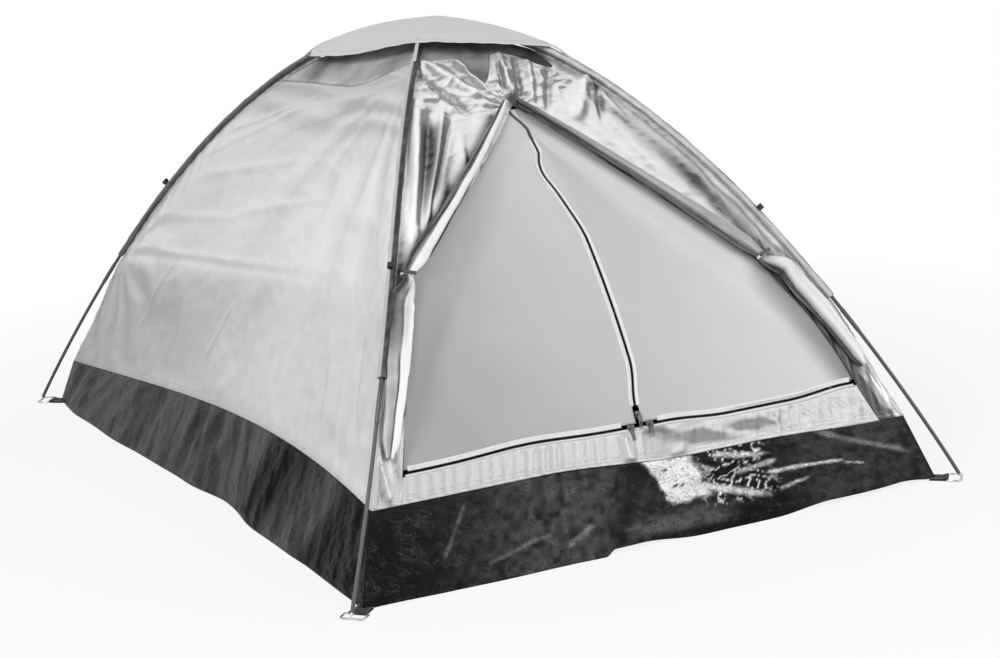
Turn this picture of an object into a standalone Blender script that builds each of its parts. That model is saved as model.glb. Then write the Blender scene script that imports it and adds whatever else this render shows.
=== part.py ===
"""A two-person dome tent on two crossed shock-corded poles, in metres, +Z up.

The origin is on the ground under the crossing of the poles. +X runs to the right along the
front wall, +Y to the back, so the door is at -Y. All the cloth hangs from one curve, the arch
of a pole, so the walls, the tub, the roof and the door are worked out from arch().
"""
import math

import bmesh
import bpy
import numpy as np
from mathutils import Matrix, Vector

# Driving sizes of the frame
FOOT_X = 0.750            # from the middle to a pole foot, across the front
FOOT_Y = 1.025            # from the middle to a pole foot, front to back
APEX = 1.015              # axis of the lower pole at the crossing
ARCH_POWER = 1.93         # how round the arch is
ARCH_FULLNESS = 0.952
ARCH_BOW = 0.033          # how far a pole bows sideways, half way up
CROSS_LIFT = 0.0112       # the second pole passes this far over the first
HALF_DIAGONAL = math.hypot(FOOT_X, FOOT_Y)

# Poles: glass-fibre tubes with a steel ferrule glued on one end of each
SECTIONS = 8
SPANS_PER_SECTION = 4
TUBE_RADIUS = 0.00425
BORE_RADIUS = 0.0026
FERRULE_RADIUS = 0.0052
SOCKET_RADIUS = 0.00455
FERRULE_REACH = 0.030     # how far a ferrule reaches to each side of its joint
JOINT_GAP = 0.0009
TUBE_SIDES = 8
CORD_RADIUS = 0.0013
FOOT_CLEAR = 0.016        # from the ground to the end of a pole, along the pole
PIN_DEPTH = 0.035

# Cloth
CLOTH = 0.0015            # thickness of a wall
SEAM_GAP = 0.0022         # between the edges of two walls at a corner
SLEEVE_END = 0.775        # all the fractions named rho run from 0 at the crossing to 1 at a foot
SLEEVE_TOP_GAP = 0.055    # a sleeve stops this far from the crossing
SLEEVE_HALF_WIDTH = 0.0108
SLEEVE_HALF_HEIGHT = 0.0069
SLEEVE_CLOTH = 0.0010
INSET_SLEEVE = 0.0084     # from the pole's axis to the wall where the sleeve runs
INSET_FOOT = 0.032        # and near the ground, where the pole is bare
ROOF_EDGE_BACK = 0.350    # where the mesh roof ends beside the back poles
ROOF_EDGE_FRONT = 0.225   # and beside the front poles, where the straps draw the cloth up
TUB_TOP = 0.915
WALL_SLACK = 0.018
FLOOR_X = 0.705
FLOOR_Y = 0.985
FLOOR_BOW_FRONT = 0.015
FLOOR_BOW_SIDE = -0.012
FLOOR_CORNER_LIFT = 0.0052

# Vent cap
CAP_RHO = 0.250
CAP_RHO_NEAR = 0.172
CAP_OFFSET = 0.0205
CAP_CROWN = 0.006
CAP_CLOTH = 0.0012

# Doorway and mesh door, heights above the ground
DOOR_APEX = 0.862
SHOULDER_RHO = 0.656
DOOR_SIDE = 0.90          # share of the front wall's half width
ZIP_LINE = 0.230          # the bottom zip
LEAF_TOP = 0.800
FOLD_TOP_X = 0.012
FOLD_FOOT_X = 0.555
FOLD_GAP = 0.0010
LEAF_FLAT = 0.011         # the mesh lies flat beside the centre zip, under the slider's plates
MESH = 0.0012
COIL_GAP = 0.0012         # half the slot that a slider's post runs in
COIL_WIDTH = 0.0034
COIL_HALF = 0.0012
PARK_TOP = 0.270          # the coils stop here, above the parked slider
PARK_SIDE = 0.045

# Sliders
SLIDER_LONG = 0.016
SLIDER_WIDE = 0.011
PLATE = 0.0013
PLATE_INNER = 0.0019
BAR_HEIGHT = 0.0056
BAR_RADIUS = 0.0008
TAB_LONG = 0.026
TAB_WIDE = 0.0070
TAB_THICK = 0.0014

# Corner hardware
WEB_WIDTH = 0.036
RING_CUT = 0.005
WEB_THICK = 0.0012
RING_WIRE = 0.0020
RING_HALF_WIDTH = 0.0255
RING_LENGTH = 0.032
RING_HEIGHT = 0.0043
WEB_CLEAR = 0.0011

# Guy-out loops
GUY_RHO = 0.640
GUY_LONG = 0.026
GUY_HIGH = 0.012

CORNERS = {
    "front_left": (-1, -1),
    "front_right": (1, -1),
    "back_right": (1, 1),
    "back_left": (-1, 1),
}
SIDES = ("front", "right", "back", "left")
TENT_MIDDLE = Vector((0.0, 0.0, 0.30))


for old in list(bpy.data.objects):
    bpy.data.objects.remove(old)

TENT = bpy.data.collections.new("dome_tent")
CUTTERS = bpy.data.collections.new("joined_shapes")
bpy.context.scene.collection.children.link(TENT)
bpy.context.scene.collection.children.link(CUTTERS)


# Materials
def material(name, color, roughness, metallic=0.0):
    """One Principled material with the given colour and gloss."""
    made = bpy.data.materials.new(name)
    made.use_nodes = True
    shader = made.node_tree.nodes["Principled BSDF"]
    shader.inputs["Base Color"].default_value = (*color, 1.0)
    shader.inputs["Roughness"].default_value = roughness
    shader.inputs["Metallic"].default_value = metallic
    return made


SILVER = material("silver_polyester", (0.60, 0.60, 0.61), 0.42, 0.30)
TUB_SHEET = material("black_groundsheet", (0.035, 0.036, 0.040), 0.28)
CAP_CLOTH_FINISH = material("pale_cap_cloth", (0.70, 0.70, 0.71), 0.60)
DARK_MESH = material("dark_roof_mesh", (0.05, 0.05, 0.055), 0.80)
GREY_MESH = material("grey_door_mesh", (0.45, 0.46, 0.47), 0.75)
FIBREGLASS = material("black_fibreglass", (0.025, 0.025, 0.027), 0.35)
STEEL = material("zinc_steel", (0.62, 0.63, 0.65), 0.30, 0.9)
ELASTIC = material("white_elastic", (0.75, 0.75, 0.73), 0.80)
WEBBING = material("black_webbing", (0.03, 0.03, 0.033), 0.85)
ZIP_COIL = material("zip_coil", (0.08, 0.08, 0.085), 0.50)
ZINC = material("zip_slider_metal", (0.45, 0.46, 0.48), 0.35, 0.8)


# Mesh helpers
def smoothstep(low, high, value):
    """Runs from 0 to 1 between low and high with flat ends."""
    t = min(max((value - low) / (high - low), 0.0), 1.0)
    return t * t * (3 - 2 * t)


def place(obj, finish, collection=TENT):
    """Puts an object in its collection with its material."""
    obj.data.materials.clear()
    obj.data.materials.append(finish)
    collection.objects.link(obj)
    return obj


def mesh_object(name, points, faces, finish, collection=TENT):
    """A mesh object from points and faces."""
    mesh = bpy.data.meshes.new(name)
    mesh.from_pydata([tuple(p) for p in points], [], faces)
    mesh.validate()
    return place(bpy.data.objects.new(name, mesh), finish, collection)


def turn_outward(obj):
    """Turns an open surface's faces away from the middle of the tent."""
    mesh = obj.data
    lean = sum((f.normal.dot(f.center - TENT_MIDDLE) * f.area for f in mesh.polygons))
    if lean < 0:
        mesh.flip_normals()


def shell(obj, thickness):
    """Gives an open surface its thickness, on the inner side."""
    turn_outward(obj)
    wall = obj.modifiers.new("thickness", "SOLIDIFY")
    wall.thickness = thickness
    wall.offset = -1
    wall.use_even_offset = True
    return obj


def grid_faces(rows, columns, wrap=False):
    """Quads between rows of points; wrap joins the last column to the first."""
    faces = []
    for i in range(rows - 1):
        for j in range(columns if wrap else columns - 1):
            k = (j + 1) % columns
            faces.append((i * columns + j, i * columns + k, (i + 1) * columns + k, (i + 1) * columns + j))
    return faces


def sheet(name, rows, finish, thickness=CLOTH, wrap=False, middle=None):
    """A cloth sheet through rows of points, closed to a middle point where one is given."""
    columns = len(rows[0])
    points = [p for row in rows for p in row]
    faces = grid_faces(len(rows), columns, wrap)
    if middle is not None:
        last = (len(rows) - 1) * columns
        points.append(middle)
        faces += [(last + j, last + (j + 1) % columns, len(points) - 1) for j in range(columns)]
    return shell(mesh_object(name, points, faces, finish), thickness)


def loft(name, rings, finish, closed=False, collection=TENT):
    """A solid through rings of points, with end caps, or closed on itself."""
    count = len(rings[0])
    points = [p for ring in rings for p in ring]
    faces = grid_faces(len(rings), count, wrap=True)
    last = (len(rings) - 1) * count
    if closed:
        faces += [(last + j, last + (j + 1) % count, (j + 1) % count, j) for j in range(count)]
    else:
        faces.append(tuple(range(count))[::-1])
        faces.append(tuple(last + j for j in range(count)))
    obj = mesh_object(name, points, faces, finish, collection)
    shape = bmesh.new()
    shape.from_mesh(obj.data)
    if shape.calc_volume(signed=True) < 0:
        bmesh.ops.reverse_faces(shape, faces=shape.faces)
    shape.to_mesh(obj.data)
    shape.free()
    return obj


def smooth(obj, angle=40):
    """Shades round surfaces smooth and keeps edges sharper than the angle."""
    obj.data.shade_smooth()
    obj.data.set_sharp_from_angle(angle=math.radians(angle))
    return obj


def box(name, size, matrix):
    """A box of the given size, placed by a matrix, among the shapes to be joined."""
    bpy.ops.mesh.primitive_cube_add(size=1)
    obj = bpy.context.object
    obj.name = name
    obj.data.transform(Matrix.Diagonal((*size, 1)))
    return take_shape(obj, matrix)


def cylinder(name, radius, length, matrix, sides=12):
    """A cylinder along its own Z, placed by a matrix, among the shapes to be joined."""
    bpy.ops.mesh.primitive_cylinder_add(vertices=sides, radius=radius, depth=length)
    obj = bpy.context.object
    obj.name = name
    return take_shape(obj, matrix)


def pivot_at(obj, point):
    """Moves an object's origin onto the axis that the piece turns about, and leaves its shape in place."""
    obj.data.transform(Matrix.Translation(-point))
    obj.location = point
    return obj


def take_shape(obj, matrix):
    """Moves a primitive's place into its mesh and files it with the joined shapes."""
    obj.data.transform(matrix)
    for collection in list(obj.users_collection):
        collection.objects.unlink(obj)
    CUTTERS.objects.link(obj)
    return obj


def combine(name, shapes, finish, cuts=()):
    """Joins shapes into one body, less the cuts, as a plain mesh."""
    body = shapes[0]
    for other, action in [(s, "UNION") for s in shapes[1:]] + [(c, "DIFFERENCE") for c in cuts]:
        step = body.modifiers.new(action.lower(), "BOOLEAN")
        step.operation = action
        step.object = other
        step.solver = "EXACT"
    bpy.context.view_layer.update()
    result = body.evaluated_get(bpy.context.evaluated_depsgraph_get())
    mesh = bpy.data.meshes.new_from_object(result)
    mesh.name = name
    for shape in (*shapes, *cuts):
        bpy.data.objects.remove(shape)
    return place(bpy.data.objects.new(name, mesh), finish)


def wire(name, points, radius, finish, cyclic=False, collection=TENT):
    """A bent wire or cord through points, as a curve with a round section."""
    curve = bpy.data.curves.new(name, "CURVE")
    curve.dimensions = "3D"
    curve.bevel_depth = radius
    curve.bevel_resolution = 1
    curve.use_fill_caps = not cyclic
    spline = curve.splines.new("POLY")
    spline.points.add(len(points) - 1)
    for spot, point in zip(spline.points, points):
        spot.co = (*point, 1.0)
    spline.use_cyclic_u = cyclic
    return place(bpy.data.objects.new(name, curve), finish, collection)


def wire_mesh(name, points, radius, finish, cyclic=False):
    """A bent wire as a plain mesh among the shapes to be joined."""
    guide = wire(name, points, radius, finish, cyclic, CUTTERS)
    bpy.context.view_layer.update()
    mesh = bpy.data.meshes.new_from_object(guide.evaluated_get(bpy.context.evaluated_depsgraph_get()))
    bpy.data.objects.remove(guide)
    shape = bmesh.new()
    shape.from_mesh(mesh)
    bmesh.ops.remove_doubles(shape, verts=shape.verts, dist=0.00001)
    bmesh.ops.recalc_face_normals(shape, faces=shape.faces)
    shape.to_mesh(mesh)
    shape.free()
    return place(bpy.data.objects.new(name, mesh), finish, CUTTERS)


# The arch of a pole, from the crossing, rho 0, to a foot, rho 1
def arch(rho):
    """A point of the pole's axis in the quarter where x and y are positive."""
    rise = (1 - rho**ARCH_POWER) ** ARCH_FULLNESS
    bow = ARCH_BOW * 4 * rise * (1 - rise)
    across = rho * FOOT_X - bow * FOOT_Y / HALF_DIAGONAL
    back = rho * FOOT_Y + bow * FOOT_X / HALF_DIAGONAL
    return Vector((across, back, APEX * rise))


def arch_normal(rho):
    """The direction square to the arch, outward, in the pole's upright plane."""
    step = 0.004
    run = arch(min(rho + step, 1.0)) - arch(max(rho - step, 0.0))
    flat = Vector((run.x, run.y, 0.0))
    outward = flat.normalized() * -run.z
    outward.z = flat.length
    return outward.normalized()


def fabric_corner(rho):
    """The seam line between two walls, inside the pole."""
    inset = INSET_SLEEVE + (INSET_FOOT - INSET_SLEEVE) * smoothstep(SLEEVE_END, 0.90, rho)
    return arch(rho) - arch_normal(rho) * inset


def on_side(side, along, out, height):
    """A point given by its place along a side, its distance outward and its height."""
    if side == "front":
        return Vector((along, -out, height))
    if side == "back":
        return Vector((-along, out, height))
    if side == "right":
        return Vector((out, along, height))
    return Vector((-out, -along, height))


def side_lengths(side, corner):
    """A corner's half width along a side and its distance outward from the middle."""
    if side in ("front", "back"):
        return corner.x, corner.y
    return corner.y, corner.x


def roof_edge(side, s):
    """Where the mesh roof ends on a wall; over the doorway the cloth is pulled down into a notch."""
    if side == "back":
        return ROOF_EDGE_BACK - 0.015 * (1 - s * s)
    if side == "front":
        notch = 0.100 * math.exp(-(((s + 0.12) / 0.15) ** 2))
        dip = 0.062 * math.exp(-(((s - 0.72) / 0.26) ** 2))
        return ROOF_EDGE_FRONT + (notch + dip) * (1 - s**10)
    forward = (1 + s) / 2 if side == "left" else (1 - s) / 2
    drop = ROOF_EDGE_BACK - ROOF_EDGE_FRONT
    return ROOF_EDGE_BACK - drop * (0.42 * forward + 0.58 * smoothstep(0.70, 1.0, forward))


def tub_edge(side, s):
    """Where the walls are sewn to the groundsheet: drawn up along the left side, lower at the back."""
    if side == "front":
        return TUB_TOP - 0.0105 + 0.0105 * smoothstep(-0.45, 0.20, s) + 0.006 * smoothstep(0.45, 1.0, s)
    if side == "left":
        return TUB_TOP + 0.0055 - 0.016 * s - (0.0255 + 0.013 * s) * (1 - s * s)
    if side == "right":
        return TUB_TOP + 0.0105 + 0.0045 * s - 0.012 * (1 - s * s)
    return TUB_TOP + 0.01825 + 0.00325 * s


def wall_slack(side, s, rho):
    """How far a wall hangs in between its poles, with one pulled crease on the long walls."""
    if side == "front":
        return 0.0
    down = min(max((rho - ROOF_EDGE_BACK) / (TUB_TOP - ROOF_EDGE_BACK), 0.0), 1.0)
    hang = WALL_SLACK * (1 - s * s) * math.sin(math.pi * (0.15 + 0.75 * down))
    crease_at = 0.52 + 0.14 * s
    crease = 0.006 * math.exp(-(((down - crease_at) / 0.10) ** 2)) * (1 - s * s)
    return hang - crease


def wall_point(side, s, rho):
    """A point of a wall: s runs from -1 to 1 between its two poles."""
    corner = fabric_corner(rho)
    half, out = side_lengths(side, corner)
    return on_side(side, s * (half - SEAM_GAP), out - wall_slack(side, s, rho), corner.z)


def spread(low, high, count):
    """Evenly spaced values, both ends included."""
    return [low + (high - low) * i / (count - 1) for i in range(count)]


# Poles
def pole_stations(lifted):
    """The corner points of a pole's axis, even steps along its length, as one broken line."""
    rhos = np.linspace(1.0, -1.0, 4001)
    points = []
    for rho in rhos:
        point = arch(abs(rho))
        sign = -1 if rho > 0 else 1
        height = point.z + (CROSS_LIFT * (1 - smoothstep(0.0, 0.55, abs(rho))) if lifted else 0.0)
        points.append((sign * point.x, sign * point.y * (-1 if lifted else 1), height))
    points = np.array(points)
    reach = np.concatenate([[0.0], np.cumsum(np.linalg.norm(np.diff(points, axis=0), axis=1))])
    marks = np.linspace(FOOT_CLEAR, reach[-1] - FOOT_CLEAR, SECTIONS * SPANS_PER_SECTION + 1)
    corners = np.stack([np.interp(marks, reach, points[:, i]) for i in range(3)], axis=1)
    return marks, corners


POLES = {"a": pole_stations(False), "b": pole_stations(True)}


def pole_spot(pole, place_along):
    """A point of the pole's broken line, with its sideways and outward directions."""
    marks, corners = POLES[pole]
    point = Vector([float(np.interp(place_along, marks, corners[:, i])) for i in range(3)])
    before = max(int(np.searchsorted(marks, place_along - 1e-6)) - 1, 0)
    after = min(int(np.searchsorted(marks, place_along + 1e-6, side="right")), len(marks) - 1)
    along = Vector(corners[after] - corners[before]).normalized()
    sideways = Vector((-along.y, along.x, 0.0)).normalized()
    return point, along, sideways, along.cross(sideways)


def tube_ring(pole, place_along, radius):
    """A ring of points round a pole."""
    point, _, sideways, outward = pole_spot(pole, place_along)
    turns = [2 * math.pi * i / TUBE_SIDES for i in range(TUBE_SIDES)]
    return [point + sideways * radius * math.cos(t) + outward * radius * math.sin(t) for t in turns]


def pole_section(pole, number):
    """One hollow glass-fibre section, with the ferrule that its lower end is glued into."""
    marks, _ = POLES[pole]
    first, last = number * SPANS_PER_SECTION, (number + 1) * SPANS_PER_SECTION
    start, end = marks[first], marks[last] - JOINT_GAP / 2
    between = [marks[i] for i in range(first + 1, last)]
    outer, inner = [], []
    if number == 0:
        outer.append((start, TUBE_RADIUS))
        inner.append((start, BORE_RADIUS))
    else:
        outer += [(start - FERRULE_REACH, FERRULE_RADIUS), (start, FERRULE_RADIUS)]
        outer += [(start + FERRULE_REACH, FERRULE_RADIUS), (start + FERRULE_REACH, TUBE_RADIUS)]
        inner += [(start - FERRULE_REACH, SOCKET_RADIUS), (start + JOINT_GAP, SOCKET_RADIUS)]
        inner.append((start + JOINT_GAP, BORE_RADIUS))
    outer += [(spot, TUBE_RADIUS) for spot in between] + [(end, TUBE_RADIUS)]
    inner += [(spot, BORE_RADIUS) for spot in between] + [(end, BORE_RADIUS)]
    rings = [tube_ring(pole, spot, radius) for spot, radius in outer + inner[::-1]]
    return smooth(loft(f"pole_{pole}_section_{number + 1}", rings, FIBREGLASS, closed=True))


def shock_cord(pole):
    """The elastic cord that runs through the bores of all the sections."""
    marks, _ = POLES[pole]
    spots = [marks[0] + 0.055, *marks[1:-1], marks[-1] - 0.055]
    points = [pole_spot(pole, spot)[0] for spot in spots]
    return wire(f"shock_cord_{pole}", points, CORD_RADIUS, ELASTIC)


# Each corner of the tent: the pole that ends there, and whether it is that pole's far end
CORNER_POLES = {
    "front_left": ("a", False),
    "back_right": ("a", True),
    "back_left": ("b", False),
    "front_right": ("b", True),
}


def place_of_rho(pole, rho, far_end):
    """The place along a pole where the arch fraction is rho, on its near or far half."""
    marks, corners = POLES[pole]
    sizes = np.hypot(corners[:, 0], corners[:, 1])
    target = math.hypot(arch(rho).x, arch(rho).y)
    half = len(marks) // 2
    if far_end:
        return float(np.interp(target, sizes[half:], marks[half:]))
    return float(np.interp(target, sizes[: half + 1][::-1], marks[: half + 1][::-1]))


def sleeve(corner):
    """A flattened cloth tube on one half of a pole, from near the crossing to its lower end."""
    pole, far_end = CORNER_POLES[corner]
    marks, _ = POLES[pole]
    crossing = (marks[0] + marks[-1]) / 2
    low = place_of_rho(pole, SLEEVE_END, far_end)
    top = crossing + SLEEVE_TOP_GAP if far_end else crossing - SLEEVE_TOP_GAP
    near, far = min(low, top), max(low, top)
    spots = [near, *[m for m in marks if near + 0.01 < m < far - 0.01], far]
    turns = [2 * math.pi * i / TUBE_SIDES for i in range(TUBE_SIDES)]

    def ring(spot, half_width, half_height):
        point, _, sideways, outward = pole_spot(pole, spot)
        return [
            point + sideways * half_width * math.cos(t) + outward * half_height * math.sin(t)
            for t in turns
        ]

    outside = [ring(s, SLEEVE_HALF_WIDTH, SLEEVE_HALF_HEIGHT) for s in spots]
    inside = [ring(s, SLEEVE_HALF_WIDTH - SLEEVE_CLOTH, SLEEVE_HALF_HEIGHT - SLEEVE_CLOTH) for s in spots]
    return smooth(loft(f"sleeve_{corner}", outside + inside[::-1], SILVER, closed=True))


# Walls, roof and tub
COLUMNS = {"front": 20, "right": 13, "back": 12, "left": 13}


def plain_wall(side):
    """A wall from the tub to the mesh roof, in one sheet that hangs between two poles."""
    rows = []
    for down in spread(0.0, 1.0, 13):
        rows.append([
            wall_point(side, s, roof_edge(side, s) + (tub_edge(side, s) - roof_edge(side, s)) * down)
            for s in spread(-1.0, 1.0, COLUMNS[side] + 1)
        ])
    return smooth(sheet(f"wall_{side}", rows, SILVER))


def around(counts):
    """Each place round the tent once, as a side and an s value."""
    return [(side, -1.0 + 2.0 * i / counts[side]) for side in SIDES for i in range(counts[side])]


def roof_mesh():
    """The mosquito-mesh roof under the cap, one sheet with its corners drawn up by the sleeves."""
    spots = around(COLUMNS)
    rows = []
    for share in (1.0, 0.70, 0.36):
        rows.append([wall_point(side, s, (roof_edge(side, s) - 0.0028) * share) for side, s in spots])
    return smooth(sheet("roof_mesh", rows, DARK_MESH, MESH, wrap=True, middle=fabric_corner(0.0)))


def floor_edge(side, s):
    """A point of the groundsheet's edge on the ground."""
    bow = FLOOR_BOW_FRONT if side in ("front", "back") else FLOOR_BOW_SIDE
    half, out = side_lengths(side, Vector((FLOOR_X, FLOOR_Y, 0.0)))
    lift = FLOOR_CORNER_LIFT if abs(s) > 0.99 else 0.0
    return on_side(side, s * half, out + bow * (1 - s * s), lift)


def tub():
    """The bathtub groundsheet: a floor turned up all round to the seam with the walls."""
    spots = around(dict.fromkeys(SIDES, 12))
    rows = []
    for down in (0.0, 0.35, 0.70, 1.0):
        row = []
        for number, (side, s) in enumerate(spots):
            top = wall_point(side, s, tub_edge(side, s) + 0.002)
            foot = floor_edge(side, s)
            point = top.lerp(foot, down)
            ripple = 0.005 * math.sin(math.pi * down) * math.cos(2.6 * number) * (1 - s**8)
            outward = Vector((point.x, point.y, 0.0)).normalized()
            row.append(point + outward * ripple)
        rows.append(row)
    for share in (0.62,):
        rows.append([Vector((p.x * share, p.y * share, 0.0)) for p in rows[3]])
    return sheet("tub_floor", rows, TUB_SHEET, MESH, wrap=True, middle=Vector((0.0, 0.0, 0.0)))


def vent_cap():
    """The rain cap over the mesh roof, with a strap at each corner down to the sleeve."""
    spots = around(dict.fromkeys(SIDES, 6))
    rows = []

    def cap_edge(side, s):
        """Where the hem runs: the near corner is cut back, on a longer strap."""
        near = {"front": (1 - s) / 2, "left": (1 + s) / 2}.get(side, 0.0)
        return CAP_RHO + (CAP_RHO_NEAR - CAP_RHO) * near

    def cap_point(side, s, share):
        corner = arch(cap_edge(side, s) * share)
        corner = corner + arch_normal(cap_edge(side, s) * share) * CAP_OFFSET
        half, out = side_lengths(side, corner)
        crown = CAP_CROWN * (1 - s * s) * share**1.5
        return on_side(side, s * half, out, corner.z + crown)

    for share in (1.0, 0.72, 0.40):
        rows.append([cap_point(side, s, share) for side, s in spots])
    peak = Vector((0.0, 0.0, APEX + CAP_OFFSET + 0.002))
    cap = sheet("cap_cloth", rows, CAP_CLOTH_FINISH, CAP_CLOTH, wrap=True, middle=peak)
    shapes = [cap]
    for corner, (x_sign, y_sign) in CORNERS.items():
        pole, far_end = CORNER_POLES[corner]
        edge = CAP_RHO_NEAR if corner == "front_left" else CAP_RHO
        base = arch(edge * 0.93) + arch_normal(edge * 0.93) * (CAP_OFFSET - CAP_CLOTH / 2)
        start = Vector((base.x * x_sign, base.y * y_sign, base.z))
        rings = []
        for share in (0.0, 0.5, 1.0):
            spot = place_of_rho(pole, edge + 0.055 * share, far_end)
            point, _, sideways, outward = pole_spot(pole, spot)
            middle = point + outward * (SLEEVE_HALF_HEIGHT + 0.0014)
            if share == 0.0:
                middle = start
            elif share == 0.5:
                middle = middle.lerp(start, 0.35)
            side_step, out_step = sideways * 0.007, outward * 0.0008
            rings.append([
                middle - side_step - out_step,
                middle + side_step - out_step,
                middle + side_step + out_step,
                middle - side_step + out_step,
            ])
        shapes.append(loft(f"strap_{corner}", rings, CAP_CLOTH_FINISH, collection=CUTTERS))
    return smooth(combine("vent_cap", shapes, CAP_CLOTH_FINISH))


# Front wall
RHO_TABLE = np.linspace(0.10, 0.96, 600)
CORNER_TABLE = np.array([tuple(fabric_corner(rho)) for rho in RHO_TABLE])


def front_at(height):
    """The front wall's half width and distance outward at a height."""
    across = float(np.interp(-height, -CORNER_TABLE[:, 2], CORNER_TABLE[:, 0]))
    out = float(np.interp(-height, -CORNER_TABLE[:, 2], CORNER_TABLE[:, 1]))
    return across, out


def rho_at(height):
    """The arch fraction at a height of the seam line."""
    return float(np.interp(-height, -CORNER_TABLE[:, 2], RHO_TABLE))


SHOULDER = fabric_corner(SHOULDER_RHO)
SHOULDER_X = DOOR_SIDE * SHOULDER.x


def door_edge_x(height):
    """The doorway's half width: straight from the apex to the shoulder, then beside the pole."""
    if height > SHOULDER.z:
        return SHOULDER_X * (DOOR_APEX - height) / (DOOR_APEX - SHOULDER.z)
    return DOOR_SIDE * front_at(height)[0]


def front_panel(name, sign):
    """The cloth between the doorway and a pole, wide at the top and narrow at the bottom."""
    top = rho_at(DOOR_APEX) + 0.002
    rhos = sorted([*spread(top, tub_edge("front", sign), 12), SHOULDER_RHO])
    rows = []
    for rho in rhos:
        corner = fabric_corner(rho)
        inner = min((door_edge_x(corner.z) + 0.0025) / corner.x, 0.95)
        rows.append([wall_point("front", sign * (inner + (1 - inner) * t), rho) for t in spread(0.0, 1.0, 4)])
    return smooth(sheet(name, rows, SILVER))


def front_header():
    """The cloth over the doorway, gathered in the real tent, up to the mesh roof."""
    low = rho_at(DOOR_APEX)
    rows = []
    for down in spread(0.0, 1.0, 5):
        rows.append([
            wall_point("front", s, roof_edge("front", s) + (low - roof_edge("front", s)) * down)
            for s in spread(-1.0, 1.0, COLUMNS["front"] + 1)
        ])
    return smooth(sheet("front_header", rows, SILVER))


SILL_TOP = ZIP_LINE - COIL_GAP - COIL_WIDTH - 0.0006


def door_sill():
    """The band of cloth between the tub's seam and the bottom zip."""
    rows = []
    for down in spread(0.0, 1.0, 3):
        row = []
        for s in spread(-1.0, 1.0, 13):
            rho = rho_at(SILL_TOP) + (tub_edge("front", s) - rho_at(SILL_TOP)) * down
            corner = fabric_corner(rho)
            inner = (door_edge_x(corner.z) + 0.0018) / corner.x
            row.append(wall_point("front", s * inner, rho))
        rows.append(row)
    return sheet("door_sill", rows, SILVER)


# Mesh door: its surface bows on a circle along the centre zip and is drawn straight at the fold
def circle_through(first, second, third):
    """Centre and radius of the circle through three points of a plane."""
    rows = np.array([[2 * p[0], 2 * p[1], 1.0] for p in (first, second, third)])
    sums = np.array([p[0] ** 2 + p[1] ** 2 for p in (first, second, third)])
    a, b, c = np.linalg.solve(rows, sums)
    return float(a), float(b), math.sqrt(c + a * a + b * b)


MESH_RECESS = 0.0030
ZIP_HEIGHTS = (ZIP_LINE, 0.560, DOOR_APEX)
ARC_OUT, ARC_HEIGHT, ARC_RADIUS = circle_through(
    *[(front_at(h)[1] - MESH_RECESS, h) for h in ZIP_HEIGHTS]
)


def zip_out(height):
    """The centre zip's distance outward at a height."""
    return ARC_OUT + math.sqrt(ARC_RADIUS**2 - (height - ARC_HEIGHT) ** 2)


FOLD_TOP = Vector((FOLD_TOP_X, -zip_out(LEAF_TOP), LEAF_TOP))
FOLD_FOOT = Vector((FOLD_FOOT_X, -zip_out(ZIP_LINE + 0.006), ZIP_LINE + 0.006))


def fold_at(height):
    """The fold line's x and distance outward at a height."""
    share = (height - FOLD_FOOT.z) / (FOLD_TOP.z - FOLD_FOOT.z)
    spot = FOLD_FOOT.lerp(FOLD_TOP, share)
    return spot.x, -spot.y


def leaf_surface(x, height):
    """The mesh surface between the centre zip and the fold line."""
    fold_x, fold_out = fold_at(height)
    flat = min(LEAF_FLAT, fold_x / 2)
    pull = math.sin(math.pi / 2 * min(max((abs(x) - flat) / (fold_x - flat), 0.0), 1.0)) ** 2
    return Vector((x, -(zip_out(height) * (1 - pull) + fold_out * pull), height))


def margin_surface(x, height):
    """The mesh surface between the fold line and the sewn edge."""
    edge_out = front_at(height)[1] - MESH_RECESS
    if height >= LEAF_TOP:
        return Vector((x, -edge_out, height))
    fold_x, fold_out = fold_at(height)
    share = (abs(x) - fold_x) / (door_edge_x(height) + 0.004 - fold_x)
    pull = math.cos(math.pi / 2 * min(max(share, 0.0), 1.0)) ** 2
    return Vector((x, -(edge_out * (1 - pull) + fold_out * pull), height))


def zip_strip(name, spots, toward, collection):
    """A zip coil as a square strip along points; toward is its width direction."""
    rings = []
    for point, outward in spots:
        across = toward * COIL_WIDTH
        thick = outward * COIL_HALF
        rings.append([point - thick, point + across - thick, point + across + thick, point + thick])
    return loft(name, rings, ZIP_COIL, collection=collection)


def out_of_zip(height):
    """The direction square to the mesh at the centre zip."""
    return Vector((0.0, -(zip_out(height) - ARC_OUT), height - ARC_HEIGHT)).normalized()


BOTTOM_OUT = out_of_zip(ZIP_LINE)
BOTTOM_UP = Vector((0.0, BOTTOM_OUT.z, -BOTTOM_OUT.y))
BOTTOM_SPOT = Vector((0.0, -zip_out(ZIP_LINE), ZIP_LINE))


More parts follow.
